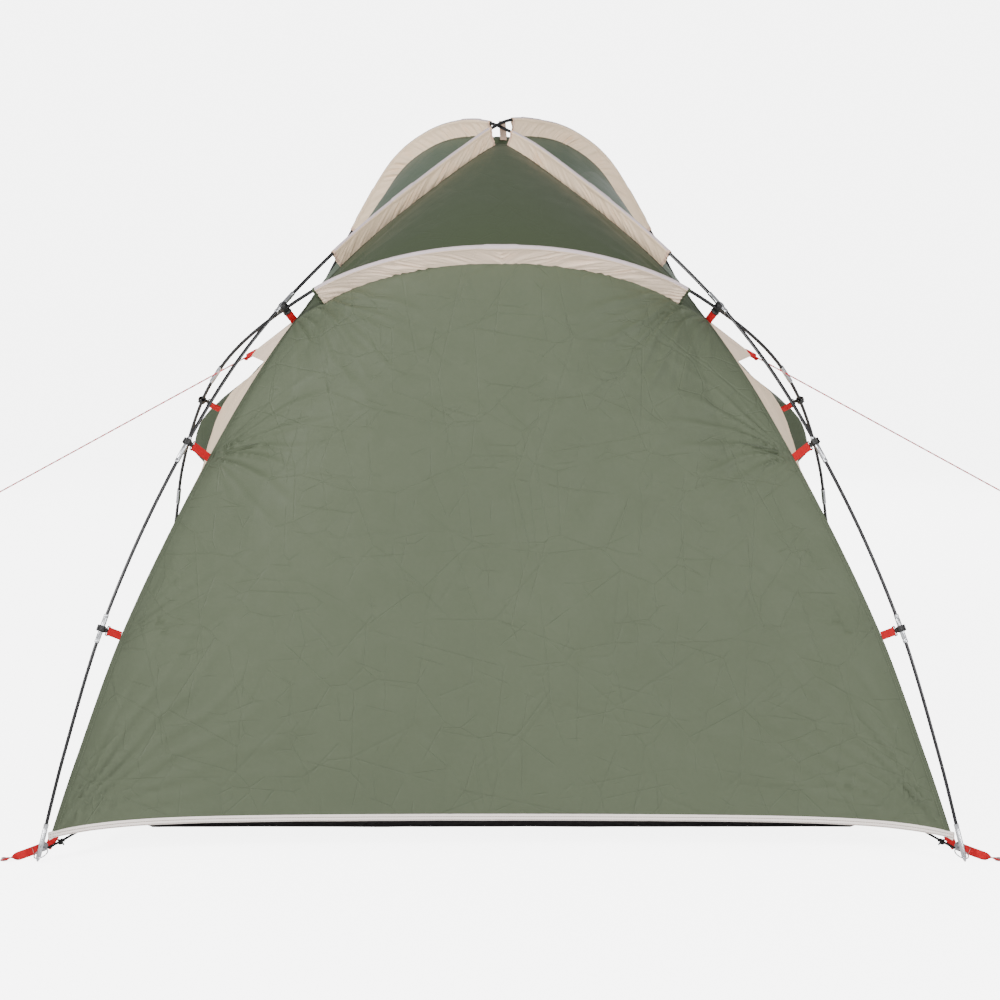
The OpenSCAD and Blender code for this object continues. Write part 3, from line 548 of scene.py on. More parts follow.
def fabric(name, color, rows=(), roughness=0.6, creased=1.0, weave=0.0009, thread=None):
    look = Look(name, color, roughness, sheen=0.05)
    look.shader.inputs["Specular IOR Level"].default_value = 0.25
    run, across, edge = look.lay()
    patchy = look.ramp(look.noise(2.6, 3), 0.3, 0.7)
    mottled = look.ramp(look.noise(90, 2), 0.25, 0.75)
    base = look.tint(patchy, darker(color, 0.97), darker(color, 1.02))
    base = look.tint(look.math("MULTIPLY", mottled, 0.1), base, darker(color, 0.7))
    threads = look.math("MULTIPLY", look.wave(run, weave), look.wave(across, weave))
    normal = look.bump(threads, 0.00012, 0.35)
    normal = look.bump(look.noise(30, 3), 0.0012, 0.3, normal)
    if creased:
        lines = None
        for folds in FOLDS:
            line = look.fold_lines(*folds)
            lines = line if lines is None else look.math("ADD", lines, line)
        normal = look.bump(look.math("MULTIPLY", lines, -1.0), 0.0013, 0.6 * creased, normal)
        # The crease lines also darken the base colour: painted shade in the creases.
        base = look.tint(look.math("MULTIPLY", lines, 0.05 * creased), base, darker(color, 0.6))
    if rows:
        stitch = look.stitches(run, across, rows)
        base = look.tint(stitch, base, thread or darker(color, 1.6))
        normal = look.bump(stitch, 0.0006, 0.8, normal)
    rough = look.ramp(look.noise(14, 3), 0.2, 0.8, roughness - 0.07, roughness + 0.08)
    return look.finish(base, rough, normal)


def webbing(name, color, rib=0.0017):
    look = Look(name, color, 0.62, sheen=0.05)
    look.shader.inputs["Specular IOR Level"].default_value = 0.25
    run, across, edge = look.lay()
    ribs = look.wave(across, rib)
    chevron = look.math("PINGPONG", across, 0.004)
    twill = look.wave(look.math("ADD", run, chevron), rib * 0.9)
    height = look.math("MULTIPLY", ribs, look.math("MULTIPLY_ADD", twill, 0.5, 0.5))
    # The weave's grooves are painted darker and its ribs a little lighter: painted shade in the grooves and
    # slight painted highlight on the ribs.
    base = look.tint(height, darker(color, 0.62), darker(color, 1.08))
    base = look.tint(look.math("MULTIPLY", look.noise(45, 3), 0.3), base, darker(color, 0.72))
    return look.finish(base, None, look.bump(height, 0.0004, 0.7))


def metal(name, color, roughness=0.28):
    look = Look(name, color, roughness, metallic=1.0)
    streaks = look.noise(90, 3)
    rough = look.ramp(streaks, 0.3, 0.7, roughness - 0.03, roughness + 0.05)
    base = look.tint(look.ramp(look.noise(35, 3), 0.35, 0.75), color, darker(color, 0.9))
    return look.finish(base, rough, look.bump(streaks, 0.00004, 0.1))


def plastic(name, color):
    look = Look(name, color, 0.42)
    grain = look.noise(700, 2)
    base = look.tint(look.ramp(look.noise(60, 3), 0.4, 0.8), color, tuple(c * 1.7 + 0.004 for c in color))
    rough = look.ramp(look.noise(120, 3), 0.3, 0.8, 0.36, 0.56)
    return look.finish(base, rough, look.bump(grain, 0.0001, 0.2))


def pole_look():
    look = Look("pole_fibreglass", (0.008, 0.008, 0.009), 0.3)
    run, angle, edge = look.lay()
    fibres = look.noise(120, 2)
    scuffs = look.ramp(look.noise(40, 4), 0.6, 0.85)
    base = look.tint(look.math("MULTIPLY", fibres, 0.4), (0.004, 0.004, 0.005), (0.010, 0.010, 0.012))
    base = look.tint(look.math("MULTIPLY", scuffs, 0.3), base, (0.03, 0.03, 0.033))
    rough = look.ramp(scuffs, 0.0, 1.0, 0.3, 0.4)
    return look.finish(base, rough, look.bump(fibres, 0.00003, 0.1))


def guyline_look():
    """Red braid with white flecks that run round it."""
    look = Look("guyline_braid", (0.55, 0.003, 0.02), 0.6, sheen=0.05)
    run, offset, around = look.lay()
    turn = look.math("DIVIDE", around, 0.004 * math.pi)
    step = look.math("DIVIDE", run, 0.024)
    one = look.math("FRACT", look.math("ADD", step, turn))
    fleck = look.math("LESS_THAN", one, 0.3)
    braid = look.math("MULTIPLY", look.wave(look.math("ADD", run, around), 0.0016),
                      look.wave(look.math("SUBTRACT", run, around), 0.0016))
    base = look.tint(fleck, (0.55, 0.003, 0.02), (0.75, 0.62, 0.62))
    base = look.tint(look.math("MULTIPLY", braid, 0.25), base, (0.35, 0.01, 0.03))
    return look.finish(base, None, look.bump(braid, 0.0003, 0.6))


def mesh_look():
    """Black insect mesh: light threads over dark gaps."""
    look = Look("insect_mesh", (0.02, 0.02, 0.02), 0.75)
    run, across, edge = look.lay()
    net = look.math("MAXIMUM", look.ramp(look.wave(run, 0.0016), 0.6, 0.9),
                    look.ramp(look.wave(across, 0.0016), 0.6, 0.9))
    base = look.tint(net, (0.006, 0.006, 0.006), (0.055, 0.055, 0.055))
    return look.finish(base, None, look.bump(net, 0.0004, 0.8))


# The darker olive is the cloth of the peak patch and the vent hoods; on the rear roof and its seams it is
# painted shade, making that roof darker than the rear panel.
OLIVE, DARK_OLIVE_AND_ROOF_SHADE = (0.082, 0.099, 0.061), (0.052, 0.068, 0.036)
CREAM, SHADED_CREAM = (0.88, 0.69, 0.53), (0.88, 0.68, 0.48)
RED = (0.64, 0.002, 0.008)
LOOKS = {
    "olive": fabric("olive_cloth", OLIVE),
    "olive_seam": fabric("olive_seam_cloth", darker(OLIVE, 0.9), rows=(0.004, 0.0125), creased=0),
    # The side panels share the rear panel's olive fabric; the lighter, bluer green given to them here is
    # painted light.
    "side_olive_painted_light": fabric("side_olive_painted_light_cloth", (0.082, 0.112, 0.076), creased=0.6),
    "dark_olive": fabric("dark_olive_cloth", DARK_OLIVE_AND_ROOF_SHADE, creased=0.35),
    "dark_seam_and_roof_shade": fabric("dark_seam_and_roof_shade_cloth", darker(DARK_OLIVE_AND_ROOF_SHADE, 0.8), rows=(0.004, 0.0125), creased=0),
    "cream": fabric("cream_cloth", CREAM, creased=0.4),
    "shaded_cream": fabric("shaded_cream_cloth", SHADED_CREAM, creased=0.4),
    "sleeve_top": fabric("sleeve_tunnel_cloth", (0.62, 0.52, 0.54), creased=0.3),
    "hem": fabric("hem_tape", (0.95, 0.86, 0.80), rows=(0.006, 0.0125), creased=0, weave=0.0012,
                  thread=(0.30, 0.20, 0.17)),
    "binding": fabric("sleeve_binding", (0.72, 0.50, 0.38), creased=0, weave=0.0012),
    "red": webbing("red_webbing", RED),
    "beige_webbing": webbing("beige_webbing", (0.66, 0.47, 0.36)),
    "black_tape": webbing("black_tape", (0.012, 0.012, 0.012)),
    "elastic": webbing("black_elastic", (0.007, 0.007, 0.007), rib=0.0011),
    "steel": metal("plated_steel", (0.60, 0.61, 0.64)),
    "grey": metal("grey_disc_metal", (0.22, 0.22, 0.23), 0.5),
    "black": plastic("black_plastic", (0.006, 0.006, 0.006)),
    "pole": pole_look(),
    "guyline": guyline_look(),
    "mesh": mesh_look(),
    "groundsheet": fabric("groundsheet_cloth", (0.050, 0.042, 0.043), roughness=0.45, weave=0.0022),
    "stitch": webbing("bar_tack_thread", (0.50, 0.28, 0.25), rib=0.0008),
}


# ------------------------------------------------------------------ pieces
def dress(node_name, look):
    """Gives a CAD node that stays visible its material."""
    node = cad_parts[node_name]
    node.data.materials.clear()
    node.data.materials.append(LOOKS[look])
    return node


def piece(name, shape, look, body="tent", replaces=()):
    """Blender object from a shape in mm, tied to a body when one is given; the CAD nodes it replaces are
    hidden.
    """
    mesh = bpy.data.meshes.new(name)
    mesh.from_pydata((shape.verts * MM).tolist(), [], shape.faces)
    attribute = mesh.attributes.new("lay", "FLOAT_VECTOR", "POINT")
    attribute.data.foreach_set("vector", (shape.lay * MM).astype(np.float32).ravel())
    mesh.polygons.foreach_set("use_smooth", np.ones(len(mesh.polygons), bool))
    mesh.update()
    mesh.materials.append(LOOKS[look])
    obj = bpy.data.objects.new(name, mesh)
    scene.collection.objects.link(obj)
    mesh.set_sharp_from_angle(angle=math.radians(50))
    if body:
        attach(obj, body)
    if replaces:
        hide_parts(*replaces)
    return obj


def cloth_piece(name, panel, thick, look, replaces, hole=None,
                body="tent"):
    """A panel of cloth; the size it was cut to is measured on its smooth grid but not put to use."""
    obj = piece(name, cloth_solid(panel.grid, thick, hole), look, body, replaces)
    g = panel.smooth_grid
    left, right, low, top = measured(g)
    cell = np.linalg.norm(np.cross(np.diff(g, axis=1)[:-1], np.diff(g, axis=0)[:, :-1]), axis=2)
    if hole:
        cell[hole[2]:hole[3], hole[0]:hole[1]] = 0
    return obj


# ------------------------------------------------------------------ guylines, the tent's only free cords
GUY_TIP, GUY_END = np.array([-692.0, -452, 1272]), np.array([-1560.0, -452, 801])
GUY_DIR = unit(GUY_END - GUY_TIP)
LOOP_SIDE = unit(np.cross(GUY_DIR, [0, 1, 0]))
LOOP_GAP, GUY_TAIL, GUY_D = 14, 90, 4


def guy_route():
    """Middle line of the cord: straight out, round a loop at its end and a little way back."""
    straight = [mix(GUY_TIP + GUY_DIR * 23, GUY_END, i / 18) for i in range(19)]
    turn = [GUY_END + GUY_DIR * (LOOP_GAP / 2 * math.sin(a)) + LOOP_SIDE * (LOOP_GAP / 2 * (1 - math.cos(a)))
            for a in np.radians(range(30, 181, 30))]
    back = GUY_END + LOOP_SIDE * LOOP_GAP
    return np.array(straight + turn + [back - GUY_DIR * (GUY_TAIL / 2), back - GUY_DIR * GUY_TAIL])


def fine(path):
    """The same route with points no further than 4 mm apart."""
    out = [path[0]]
    for a, b in zip(path[:-1], path[1:]):
        n = max(1, int(np.linalg.norm(b - a) / 4))
        out += [mix(a, b, i / n) for i in range(1, n + 1)]
    return np.array(out)


for side_name, turn_side in (("left", np.array([1.0, 1, 1])), ("right", np.array([-1.0, 1, 1]))):
    route = guy_route()
    line = sweep(fine(route), round_section(GUY_D / 2, 12), [0, 1, 0])
    if side_name == "right":
        line = mirrored(line)
    cord = piece("guyline_braid_" + side_name, line, "guyline",
                 replaces=["guyline_" + side_name])
    runner = dress("guy_runner_" + side_name, "black")

# ------------------------------------------------------------------ poles
HOOP_SIDE = unit([0, 1, HOOP_LEAN])
POLE_SIDE = np.array([UY, -UX, 0])


def rods(pole, cuts, gap, hint):
    """Sections of a pole between its ferrules, with softened ends."""
    out = []
    for a, b in zip(cuts[:-1], cuts[1:]):
        at = np.linspace(a + gap, b - gap, 40)
        scale = np.ones(40)
        scale[[0, -1]] = 0.86
        out.append(sweep(pole(at), round_section(ROD_R), hint, scale))
    return join(out)


def ferrule(at, direction):
    """Steel tube with rolled ends and a crimp on each side."""
    h, r = FERRULE_LEN / 2, FERRULE_R
    profile = [(-h, r - 1.3), (-h + 0.4, r - 0.3), (-h + 1.2, r), (-h + 8, r), (-h + 9, r - 0.5),
               (-h + 11, r - 0.5), (-h + 12, r)]
    profile += [(-z, radius) for z, radius in reversed(profile)]
    return lathe(profile, at, direction, 28)


FOOT_TUBE_GRIP = 70 / 3
X_CUTS = [-HALF_LEN + FOOT_TUBE_GRIP] + X_JOINTS + [HALF_LEN - FOOT_TUBE_GRIP]
LEFT_POLE = rods(lambda s: x_pole(s, 1), X_CUTS, 1, POLE_SIDE)
RIGHT_POLE = mirrored(rods(lambda s: x_pole(s, -1), X_CUTS, 1, POLE_SIDE))
piece("x_pole_left_sections", LEFT_POLE, "pole", replaces=["x_pole_left_rods"])
piece("x_pole_right_sections", RIGHT_POLE, "pole", replaces=["x_pole_right_rods"])
HOOP_CUTS = [-HOOP_ROD_END] + HOOP_JOINTS + [HOOP_ROD_END]
piece("hoop_pole_sections", rods(hoop_pole, HOOP_CUTS, 0.05, HOOP_SIDE), "pole",
      replaces=["hoop_pole_rods"])


def x_ferrules(over):
    return join([ferrule(x_pole(s, over), x_pole(s + 20, over) - x_pole(s - 20, over)) for s in X_JOINTS])


piece("x_pole_left_ferrule_tubes", x_ferrules(1), "steel", replaces=["x_pole_left_ferrules"])
piece("x_pole_right_ferrule_tubes", mirrored(x_ferrules(-1)), "steel",
      replaces=["x_pole_right_ferrules"])
piece("hoop_pole_ferrule_tubes",
      join([ferrule(hoop_pole(a), hoop_pole(a + 1) - hoop_pole(a - 1)) for a in HOOP_JOINTS]),
      "steel", replaces=["hoop_pole_ferrules"])

X_FOOT = np.array([-FOOT_X, -FOOT_Y, 0.8])
HOOP_FOOT = hoop_at(-113, 1272) - [0, 0, 1]


def foot_tube(at, direction):
    """Steel tube with a blunt point, and a crimp near its top."""
    r, point, top = FERRULE_R, 12, 100
    profile = [(0, 0.8), (0.6, 2.0), (2.2, 2.8), (point - 3, 5.2), (point, r - 0.2), (point + 3, r),
               (top - 16, r), (top - 15, r - 0.5), (top - 12, r - 0.5), (top - 11, r), (top - 1, r),
               (top, r - 1.2)]
    return lathe(profile, at, direction, 28)


piece("pole_foot_points", join([
    four_corners(foot_tube(X_FOOT, x_pole(-1540) - X_FOOT)),
    both_sides(foot_tube(HOOP_FOOT, hoop_pole(-107) - HOOP_FOOT))]), "steel",
    replaces=["pole_foot_tubes"])

# ------------------------------------------------------------------ clips
CLIP_REACH, CLIP_LEN = 22, 17


def placed(shape, at, axis, side):
    """Turns a shape so that its z is along axis and its x as near to side as it can be."""
    z = unit(axis)
    y = unit(np.cross(z, side))
    x = np.cross(y, z)
    return Shape(np.asarray(at, float) + shape.verts @ np.array([x, y, z]), shape.faces, shape.lay)


def clip_shape():
    """Hook that snaps on a pole, its tongue, and the bar that the webbing runs round."""
    ring = FERRULE_R + 0.7 + 1.6
    a = np.radians(np.linspace(-142, 142, 30))
    hook = sweep(points(ring * np.cos(a), ring * np.sin(a), 0.0), strap_section(CLIP_LEN, 3.2), UP)
    lip = np.radians(np.array([142, 150, 158, 164]))
    wide = ring + np.array([0.0, 0.6, 1.8, 3.4])
    lips = [sweep(points(wide * np.cos(lip), sign * wide * np.sin(lip), 0.0),
                  strap_section(CLIP_LEN, 3.0), UP) for sign in (1, -1)]
    tongue = sweep(points(np.array([8.2, 11, 14, 17, 19]), 0.0, 0.0), strap_section(14, 7), UP,
                   scale=[1, 1, 0.95, 0.9, 0.8])
    corner = [(17, -12), (24, -12), (24, 12), (17, 12), (17, -12)]
    bar = [sweep(points(np.linspace(p[0], q[0], 4), 0.0, np.linspace(p[1], q[1], 4)), round_section(1.7, 10),
                 [0, 1, 0]) for p, q in zip(corner[:-1], corner[1:])]
    return join([hook, *lips, tongue, *bar])


def at_x_pole(shape, s):
    return placed(shape, x_pole(s), x_pole(s + 10) - x_pole(s - 10), x_in(s))


def at_hoop(shape, a):
    return placed(shape, hoop_pole(-a), hoop_pole(-a + 1) - hoop_pole(-a - 1), leg_seam(a) - hoop_pole(-a))


CLIP = clip_shape()
piece("leg_clip_hooks", both_sides(join([at_x_pole(CLIP, s) for s in CLIP_S]
                                        + [at_hoop(CLIP, a) for a in CLIP_ANGLES])),
      "black", replaces=["leg_clips"])

CROSS_AT = mix(x_pole(CROSSING_S), hoop_pole(-CROSSING_ANGLE), 0.5)
CROSS_IN = unit(JOIN_LEFT - CROSS_AT)
KNOB = [(0, 7), (0.6, 10), (2.2, 12), (5, 12.6), (21, 12.6), (23, 11.4), (25, 10.8), (28, 11), (30, 12.2),
        (32.5, 12.2), (33.6, 11), (34, 9)]
piece("crossing_knobs", both_sides(lathe(KNOB, CROSS_AT - CROSS_IN * 12, CROSS_IN, 60, 12, 0.03)),
      "black", replaces=["crossing_clips"])


# ------------------------------------------------------------------ webbing
def loop_strap(seam_at, bar_at, across, width, rise=1.5):
    """Webbing from the seam to a bar, round it, and back."""
    d = unit(bar_at - seam_at)
    lift = unit(np.cross(across, d)) * rise
    turn = [bar_at + d * (rise * 1.4 * math.sin(a)) + lift * math.cos(a)
            for a in np.linspace(0.2, np.pi - 0.2, 7)]
    path = [mix(seam_at, bar_at, f) + lift * (0.7 + 0.3 * f) for f in np.linspace(0, 0.96, 8)] + turn
    path += [mix(seam_at, bar_at, f) - lift * (0.7 + 0.3 * f) for f in np.linspace(0.96, 0, 8)]
    return sweep(path, strap_section(width, 1.3), across)


def tab(pole_at, seam_at, across, start):
    """Webbing tab from the seam to a bar that is start away from the pole."""
    d = unit(seam_at - pole_at)
    return loop_strap(seam_at - d * 1.5, pole_at + d * start, across, 22.5)


TABS = [tab(x_pole(s), x_seam(s), x_pole(s + 10) - x_pole(s - 10), CLIP_REACH + 1) for s in CLIP_S]
TABS += [tab(hoop_pole(-a), leg_seam(a), hoop_pole(-a + 1) - hoop_pole(-a - 1), CLIP_REACH + 1)
         for a in CLIP_ANGLES]
piece("clip_webbing_tabs", both_sides(join(TABS)), "red", replaces=["clip_webbings"])
piece("crossing_webbing_tabs",
      both_sides(tab(CROSS_AT, JOIN_LEFT, x_pole(CROSSING_S + 10) - x_pole(CROSSING_S - 10), 20)),
      "red", replaces=["crossing_webbings"])

# ------------------------------------------------------------------ corners
RING_AT = X_FOOT + [9, 5, 20]
DISC_AT = X_FOOT + [10, 31, 32]
DISC_AXIS = unit([0.2, -1, 0.15])
CORNER_TOP = np.array([-FOOT_X + 37, -FOOT_Y + 36, 58.0])
DISC = [(0.1, 10), (0.3, 12.2), (0.9, 12.9), (1.6, 12.9), (2.2, 12.3), (2.4, 11.2), (1.9, 10.2), (1.9, 4.6),
        (2.3, 4.2), (3.0, 3.4), (3.2, 1.2)]
piece("corner_disc_plates", four_corners(lathe(DISC, DISC_AT, DISC_AXIS, 40)), "grey",
      replaces=["corner_discs"])
f = np.linspace(0, 1, 20)[:, None]
CORNER_STRAP = mix(CORNER_TOP, DISC_AT + [9, 8, -8], f) + np.array([0, 5, 0]) * np.sin(np.pi * f)
STRAP_HINTS = mix(np.array([1, 0.1, -0.05]), np.array([0.8, 0.3, -0.5]), f)
piece("corner_strap_webbing", four_corners(join([
    sweep(CORNER_STRAP + behind, strap_section(24, 1.3), STRAP_HINTS, scale=mix(1.0, 0.72, f[:, 0]))
    for behind in (np.zeros(3), np.array([1.5, 3.5, 0]))])), "red", replaces=["corner_straps"])
PEG_START = DISC_AT + [-3, 6, -2]
PEG_BEND = PEG_START + unit([-0.85, -0.08, -0.42]) * 40
PEG_END = np.array([PEG_BEND[0] - 120 * 0.62, PEG_BEND[1] - 120 * 0.22, 4])


def peg_strap():
    """Strap from the disc to the ground; it stands on edge at first and turns flat on its way."""
    stops = np.array([PEG_START + [4, -2, 0], [-1222, -1054, 20], [-1247, -1066, 13.5], [-1268, -1069, 7.5],
                      PEG_END + [9, 3, 0.4]])
    k = np.linspace(0, 1, 40)
    path = np.stack([np.interp(k, np.linspace(0, 1, len(stops)), stops[:, c]) for c in range(3)], axis=1)
    for _ in range(8):
        path[1:-1] = 0.5 * path[1:-1] + 0.25 * (path[:-2] + path[2:])
    hints = mix(np.array([-0.2, -0.12, 0.95]), np.array([0.24, -0.85, 0.02]),
                smooth((k - 0.5) * 2.6)[:, None])
    upper = sweep(path, strap_section(24, 1.4), hints)
    tack = sweep(points(np.linspace(-9, 9, 12), 0.0, 0.0), strap_section(1.8, 0.9), [0, 0, 1])
    t = unit(path[9] - path[7])
    out = unit(np.cross(t, hints[8]))
    return upper, placed(tack, path[8] + out * (1.0 if out[1] < 0 else -1.0), t, hints[8])


STRAP, TACK = peg_strap()
piece("peg_strap_webbing", four_corners(STRAP), "red", replaces=["peg_straps"])
piece("peg_strap_stitching", four_corners(TACK), "stitch")


ELASTIC_TO = RING_AT + [16, 14, 11]
REAR_ELASTIC = (np.array([-1054.0, -859, 72]), ELASTIC_TO)
FRONT_ELASTIC = (np.array([-1058.0, 925, 22]), ELASTIC_TO * [1, -1, 1])


def elastic(start, end):
    """Cord from the groundsheet to the ring, slightly slack."""
    f = np.linspace(0, 1, 40)[:, None]
    return sweep(mix(start, end, f) - UP * 4 * np.sin(np.pi * f), round_section(3.2, 12), UP)


def elastic_knot(start, end):
    """Overhand knot on the cord and the two ends that leave it."""
    at, run = mix(start, end, 0.8) - UP * 2.4, unit(end - start)
    side = unit(np.cross(run, UP))
    top = np.cross(side, run)
    a = np.linspace(0, 2 * np.pi, 60)
    knot = (at + np.outer(np.sin(a) + 2 * np.sin(2 * a), side) * 2.3
            + np.outer(np.cos(a) - 2 * np.cos(2 * a), top) * 2.3 + np.outer(-np.sin(3 * a), run) * 4.0)
    out = [sweep(knot, round_section(2.5, 12), run)]
    for turn, fall, length in ((0.8, -1.0, 21), (1.3, -0.55, 15)):
        k = np.linspace(0, 1, 12)[:, None]
        way = unit(-run * turn + top * fall + side * (0.5 - turn * 0.4))
        out.append(sweep(at + way * length * k + top * 3 * np.sin(3 * k), round_section(2.2, 12), side))
    return join(out)


ELASTICS = (REAR_ELASTIC, FRONT_ELASTIC)
piece("corner_elastic_cords", both_sides(join([elastic(*e) for e in ELASTICS])), "elastic",
      replaces=["corner_elastics"])
piece("corner_elastic_knots", both_sides(join([elastic_knot(*e) for e in ELASTICS])), "elastic",
      replaces=["elastic_toggles"])
dress("corner_rings", "steel")
dress("peg_eyelets", "steel")

# ------------------------------------------------------------------ canopy
def hem_step(f):
    """Share of the hem's bow and lift: quick near its ends, flat in the middle."""
    return 0.75 * (1 - (2 * f - 1) ** 8) + 0.25 * (1 - (2 * f - 1) ** 2)


def rear_low(f):
    foot = x_seam(PANEL_FOOT)
    rise = hem_step(f)[:, None]
    return mix(foot, flip(foot), f[:, None]) + rise * np.array([0, HEM_BOW, HEM_LIFT + REAR_HEM_RAISE])


def side_low(f):
    rise = hem_step(f)[:, None]
    return mix(leg_seam(LEG_END), x_seam(PANEL_FOOT), f[:, None]) + rise * np.array([HEM_BOW, 0, HEM_LIFT])


def arch(f):
    """Seam below the hoop, from one crossing of hoop and long pole to the other."""
    i = f * 14 - 7
    angle = np.where(np.abs(i) < 5, 5.5 * i, np.sign(i) * (27.5 + 3 * (np.abs(i) - 5)))
    step = np.maximum(0, np.abs(angle) - 27.5) / (CROSSING_ANGLE - 27.5)
    ends = np.where(angle[:, None] < 0, SEAM_STEP, flip(SEAM_STEP))
    return hoop_seam(angle) + step[:, None] * ends


def x_line(s0, s1):
    return lambda f: x_seam(mix(s0, s1, f))


def leg_line(a0, a1):
    return lambda f: leg_seam(mix(a0, a1, f))


def flipped(line):
    return lambda f: flip(line(f))


def straight(p, q):
    return lambda f: mix(p, q, np.asarray(f)[:, None])


def ends_joined(left, right):
    """Straight low and top borders between the ends of two side borders."""
    ends = np.array([0.0, 1.0])
    return [straight(p, q) for p, q in zip(left(ends), right(ends))]


def general(x, y, seed, depth=1.0):
    """Slow swell, medium waves and small crumples, for the canopy's panels and the door."""
    swell = 1.6 * noise(x / 330 + 11, y / 330 + 5, seed) + 0.8 * noise(x / 130 + 3, y / 130 + 8, seed + 1)
    small = 0.35 * noise(x / 46, y / 46, seed + 2)
    return depth * (swell + small)


def relief_of(seed, swell, crease_values, pulls=(), extra=None):
    """Relief of a panel: general wrinkles, creases, and a fan at each point that pulls on it."""
    def relief(x, y, at):
        h = general(x, y, seed, swell) + creases(x, y, seed + 1, *crease_values)
        for p, spread, count, reach, depth, fan_seed in pulls:
            h = h + fan(x, y, at(p), spread, count, reach, depth, fan_seed)
        return h + extra(x, y) if extra else h
    return relief


def rear_puckers(x, y):
    low = noise(x / 15, y / 90, 71) * np.exp(-y / 45) * 1.3
    top = y.max(axis=0)[None, :] - y
    return creases(x, y, 5, 90, 200, 1.1) + low + noise(x / 13 + 4, y / 80, 72) * np.exp(-top / 50) * 1.2


REAR_PULLS = []
for side, turn in ((1, same), (-1, flip)):
    REAR_PULLS += [(turn(x_seam(PANEL_FOOT)), 0.75, 6, 420, 7.0, 11 + side),
                   (turn(x_seam(-1405)), 1.25, 6, 210, 4.5, 21 + side - 1405),
                   (turn(x_seam(-1126)), 1.25, 6, 260, 6.5, 21 + side - 1126),
                   (turn(JOIN_LEFT), 0.8, 5, 330, 6.0, 41 + side),
                   (turn(hoop_seam(-27.5)), 0.9, 6, 230, 4.0, 61 + side)]
rear_relief = relief_of(3, 1.0, (130, 330, 1.7, -0.75), REAR_PULLS, rear_puckers)
REAR = make_panel(x_line(PANEL_FOOT, CROSSING_S), flipped(x_line(PANEL_FOOT, CROSSING_S)), rear_low, arch,
                  240, 190, rear_relief)
cloth_piece("rear_panel_cloth", REAR, 0.8, "olive", ["rear_panel"])
piece("rear_panel_seams", seams(REAR, ("left", "right"), 17, 6, 1), "olive_seam")


roof_relief = relief_of(13, 0.8, (26, 260, 1.2), [(JOIN_LEFT, 0.6, 4, 260, 4.0, 16),
                                                  (flip(JOIN_LEFT), 0.6, 4, 260, 4.0, 14)])
REAR_ROOF = make_panel(x_line(CROSSING_S, -PEAK_CUT), flipped(x_line(CROSSING_S, -PEAK_CUT)), arch,
                       straight(x_seam(-PEAK_CUT), flip(x_seam(-PEAK_CUT))), 108, 66, roof_relief)
# The rear roof and its seams get the darker olive: painted shade, for the less front light that this roof
# catches.
cloth_piece("rear_roof_cloth", REAR_ROOF, 0.8, "dark_olive", ["rear_roof"])
piece("rear_roof_seams", seams(REAR_ROOF, ("left", "right"), 15, 8, 1),
      "dark_seam_and_roof_shade")

# Side panel between the hoop's leg and the front leg, with the vent's opening
LEG_CELLS, ROOF_CELLS = 12, 6


def side_rear(f):
    """Rear border of the side panel: up the hoop's leg, then along the long pole to the peak."""
    share = f * (LEG_CELLS + ROOF_CELLS)
    leg = leg_seam(mix(LEG_END, CROSSING_ANGLE, np.minimum(share / LEG_CELLS, 1)))
    roof = x_seam(mix(CROSSING_S, -PEAK_CUT, np.clip((share - LEG_CELLS) / ROOF_CELLS, 0, 1)))
    return np.where((share <= LEG_CELLS)[:, None], leg, roof)


SIDE_PULLS = [(p, 1.0, 6, reach, depth, 31 + reach) for p, reach, depth in (
    (leg_seam(LEG_END), 380, 6), (leg_seam(54.5), 220, 5), (leg_seam(84), 220, 5),
    (flip(x_seam(SIDE_FOOT_S)), 380, 6), (flip(x_seam(1126)), 240, 5), (flip(x_seam(1405)), 200, 4),
    (JOIN_LEFT, 280, 5))]
side_relief = relief_of(23, 1.0, (90, 300, 1.5), SIDE_PULLS,
                        lambda x, y: -7 * smooth((x - x.max() + 260) / 260))
SIDE_FRONT = flipped(x_line(SIDE_FOOT_S, PEAK_CUT))
SIDE_COLUMNS, SIDE_ROWS = 96, 180
SIDE = make_panel(SIDE_FRONT, side_rear, *ends_joined(SIDE_FRONT, side_rear), SIDE_COLUMNS, SIDE_ROWS,
                  side_relief)
VENT = (5 * SIDE_COLUMNS // 8, 7 * SIDE_COLUMNS // 8, 7 * SIDE_ROWS // 18, 8 * SIDE_ROWS // 18)


GUSSET_S, GUSSET_ANGLE = -1185, 71


def gusset_folds(x, y):
    return (noise(x / 22, y / 420, 45) * 3.2 + noise(x / 40 + 4, y / 600, 46) * 2.5) * smooth(y / 60)


gusset_relief = relief_of(43, 0.6, (16, 240, 1.4), (), gusset_folds)
GUSSET_SIDES = leg_line(GUSSET_ANGLE, CROSSING_ANGLE + 3), x_line(GUSSET_S, CROSSING_S - 24)
GUSSET = make_panel(*GUSSET_SIDES, *ends_joined(*GUSSET_SIDES), 30, 60, gusset_relief, 8)


lower_relief = relief_of(53, 1.0, (60, 280, 1.5), [
    (p, 0.9, 6, 260, 5, 55) for p in (leg_seam(LEG_END), x_seam(PANEL_FOOT), leg_seam(84), x_seam(-1405))])
LOWER = make_panel(leg_line(LEG_END, GUSSET_ANGLE), x_line(PANEL_FOOT, GUSSET_S), side_low,
                   straight(leg_seam(GUSSET_ANGLE), x_seam(GUSSET_S)), 130, 78, lower_relief)

# Front wall beside the door
SILL_V, DOOR_FOOT_Y, DOOR_LEN, DOOR_LOW, DOOR_HIGH, LEAN = 66, 1010, 1200, 600, 350, math.radians(20)
ZIP_OUT, ZIP_W = 15, 12
DOOR_TOP_V = SILL_V + DOOR_LEN
FRONT_TOP_S = 830


def door_plane(x, v):
    v = np.asarray(v, float)
    return points(x, DOOR_FOOT_Y - v * math.sin(LEAN), v * math.cos(LEAN))


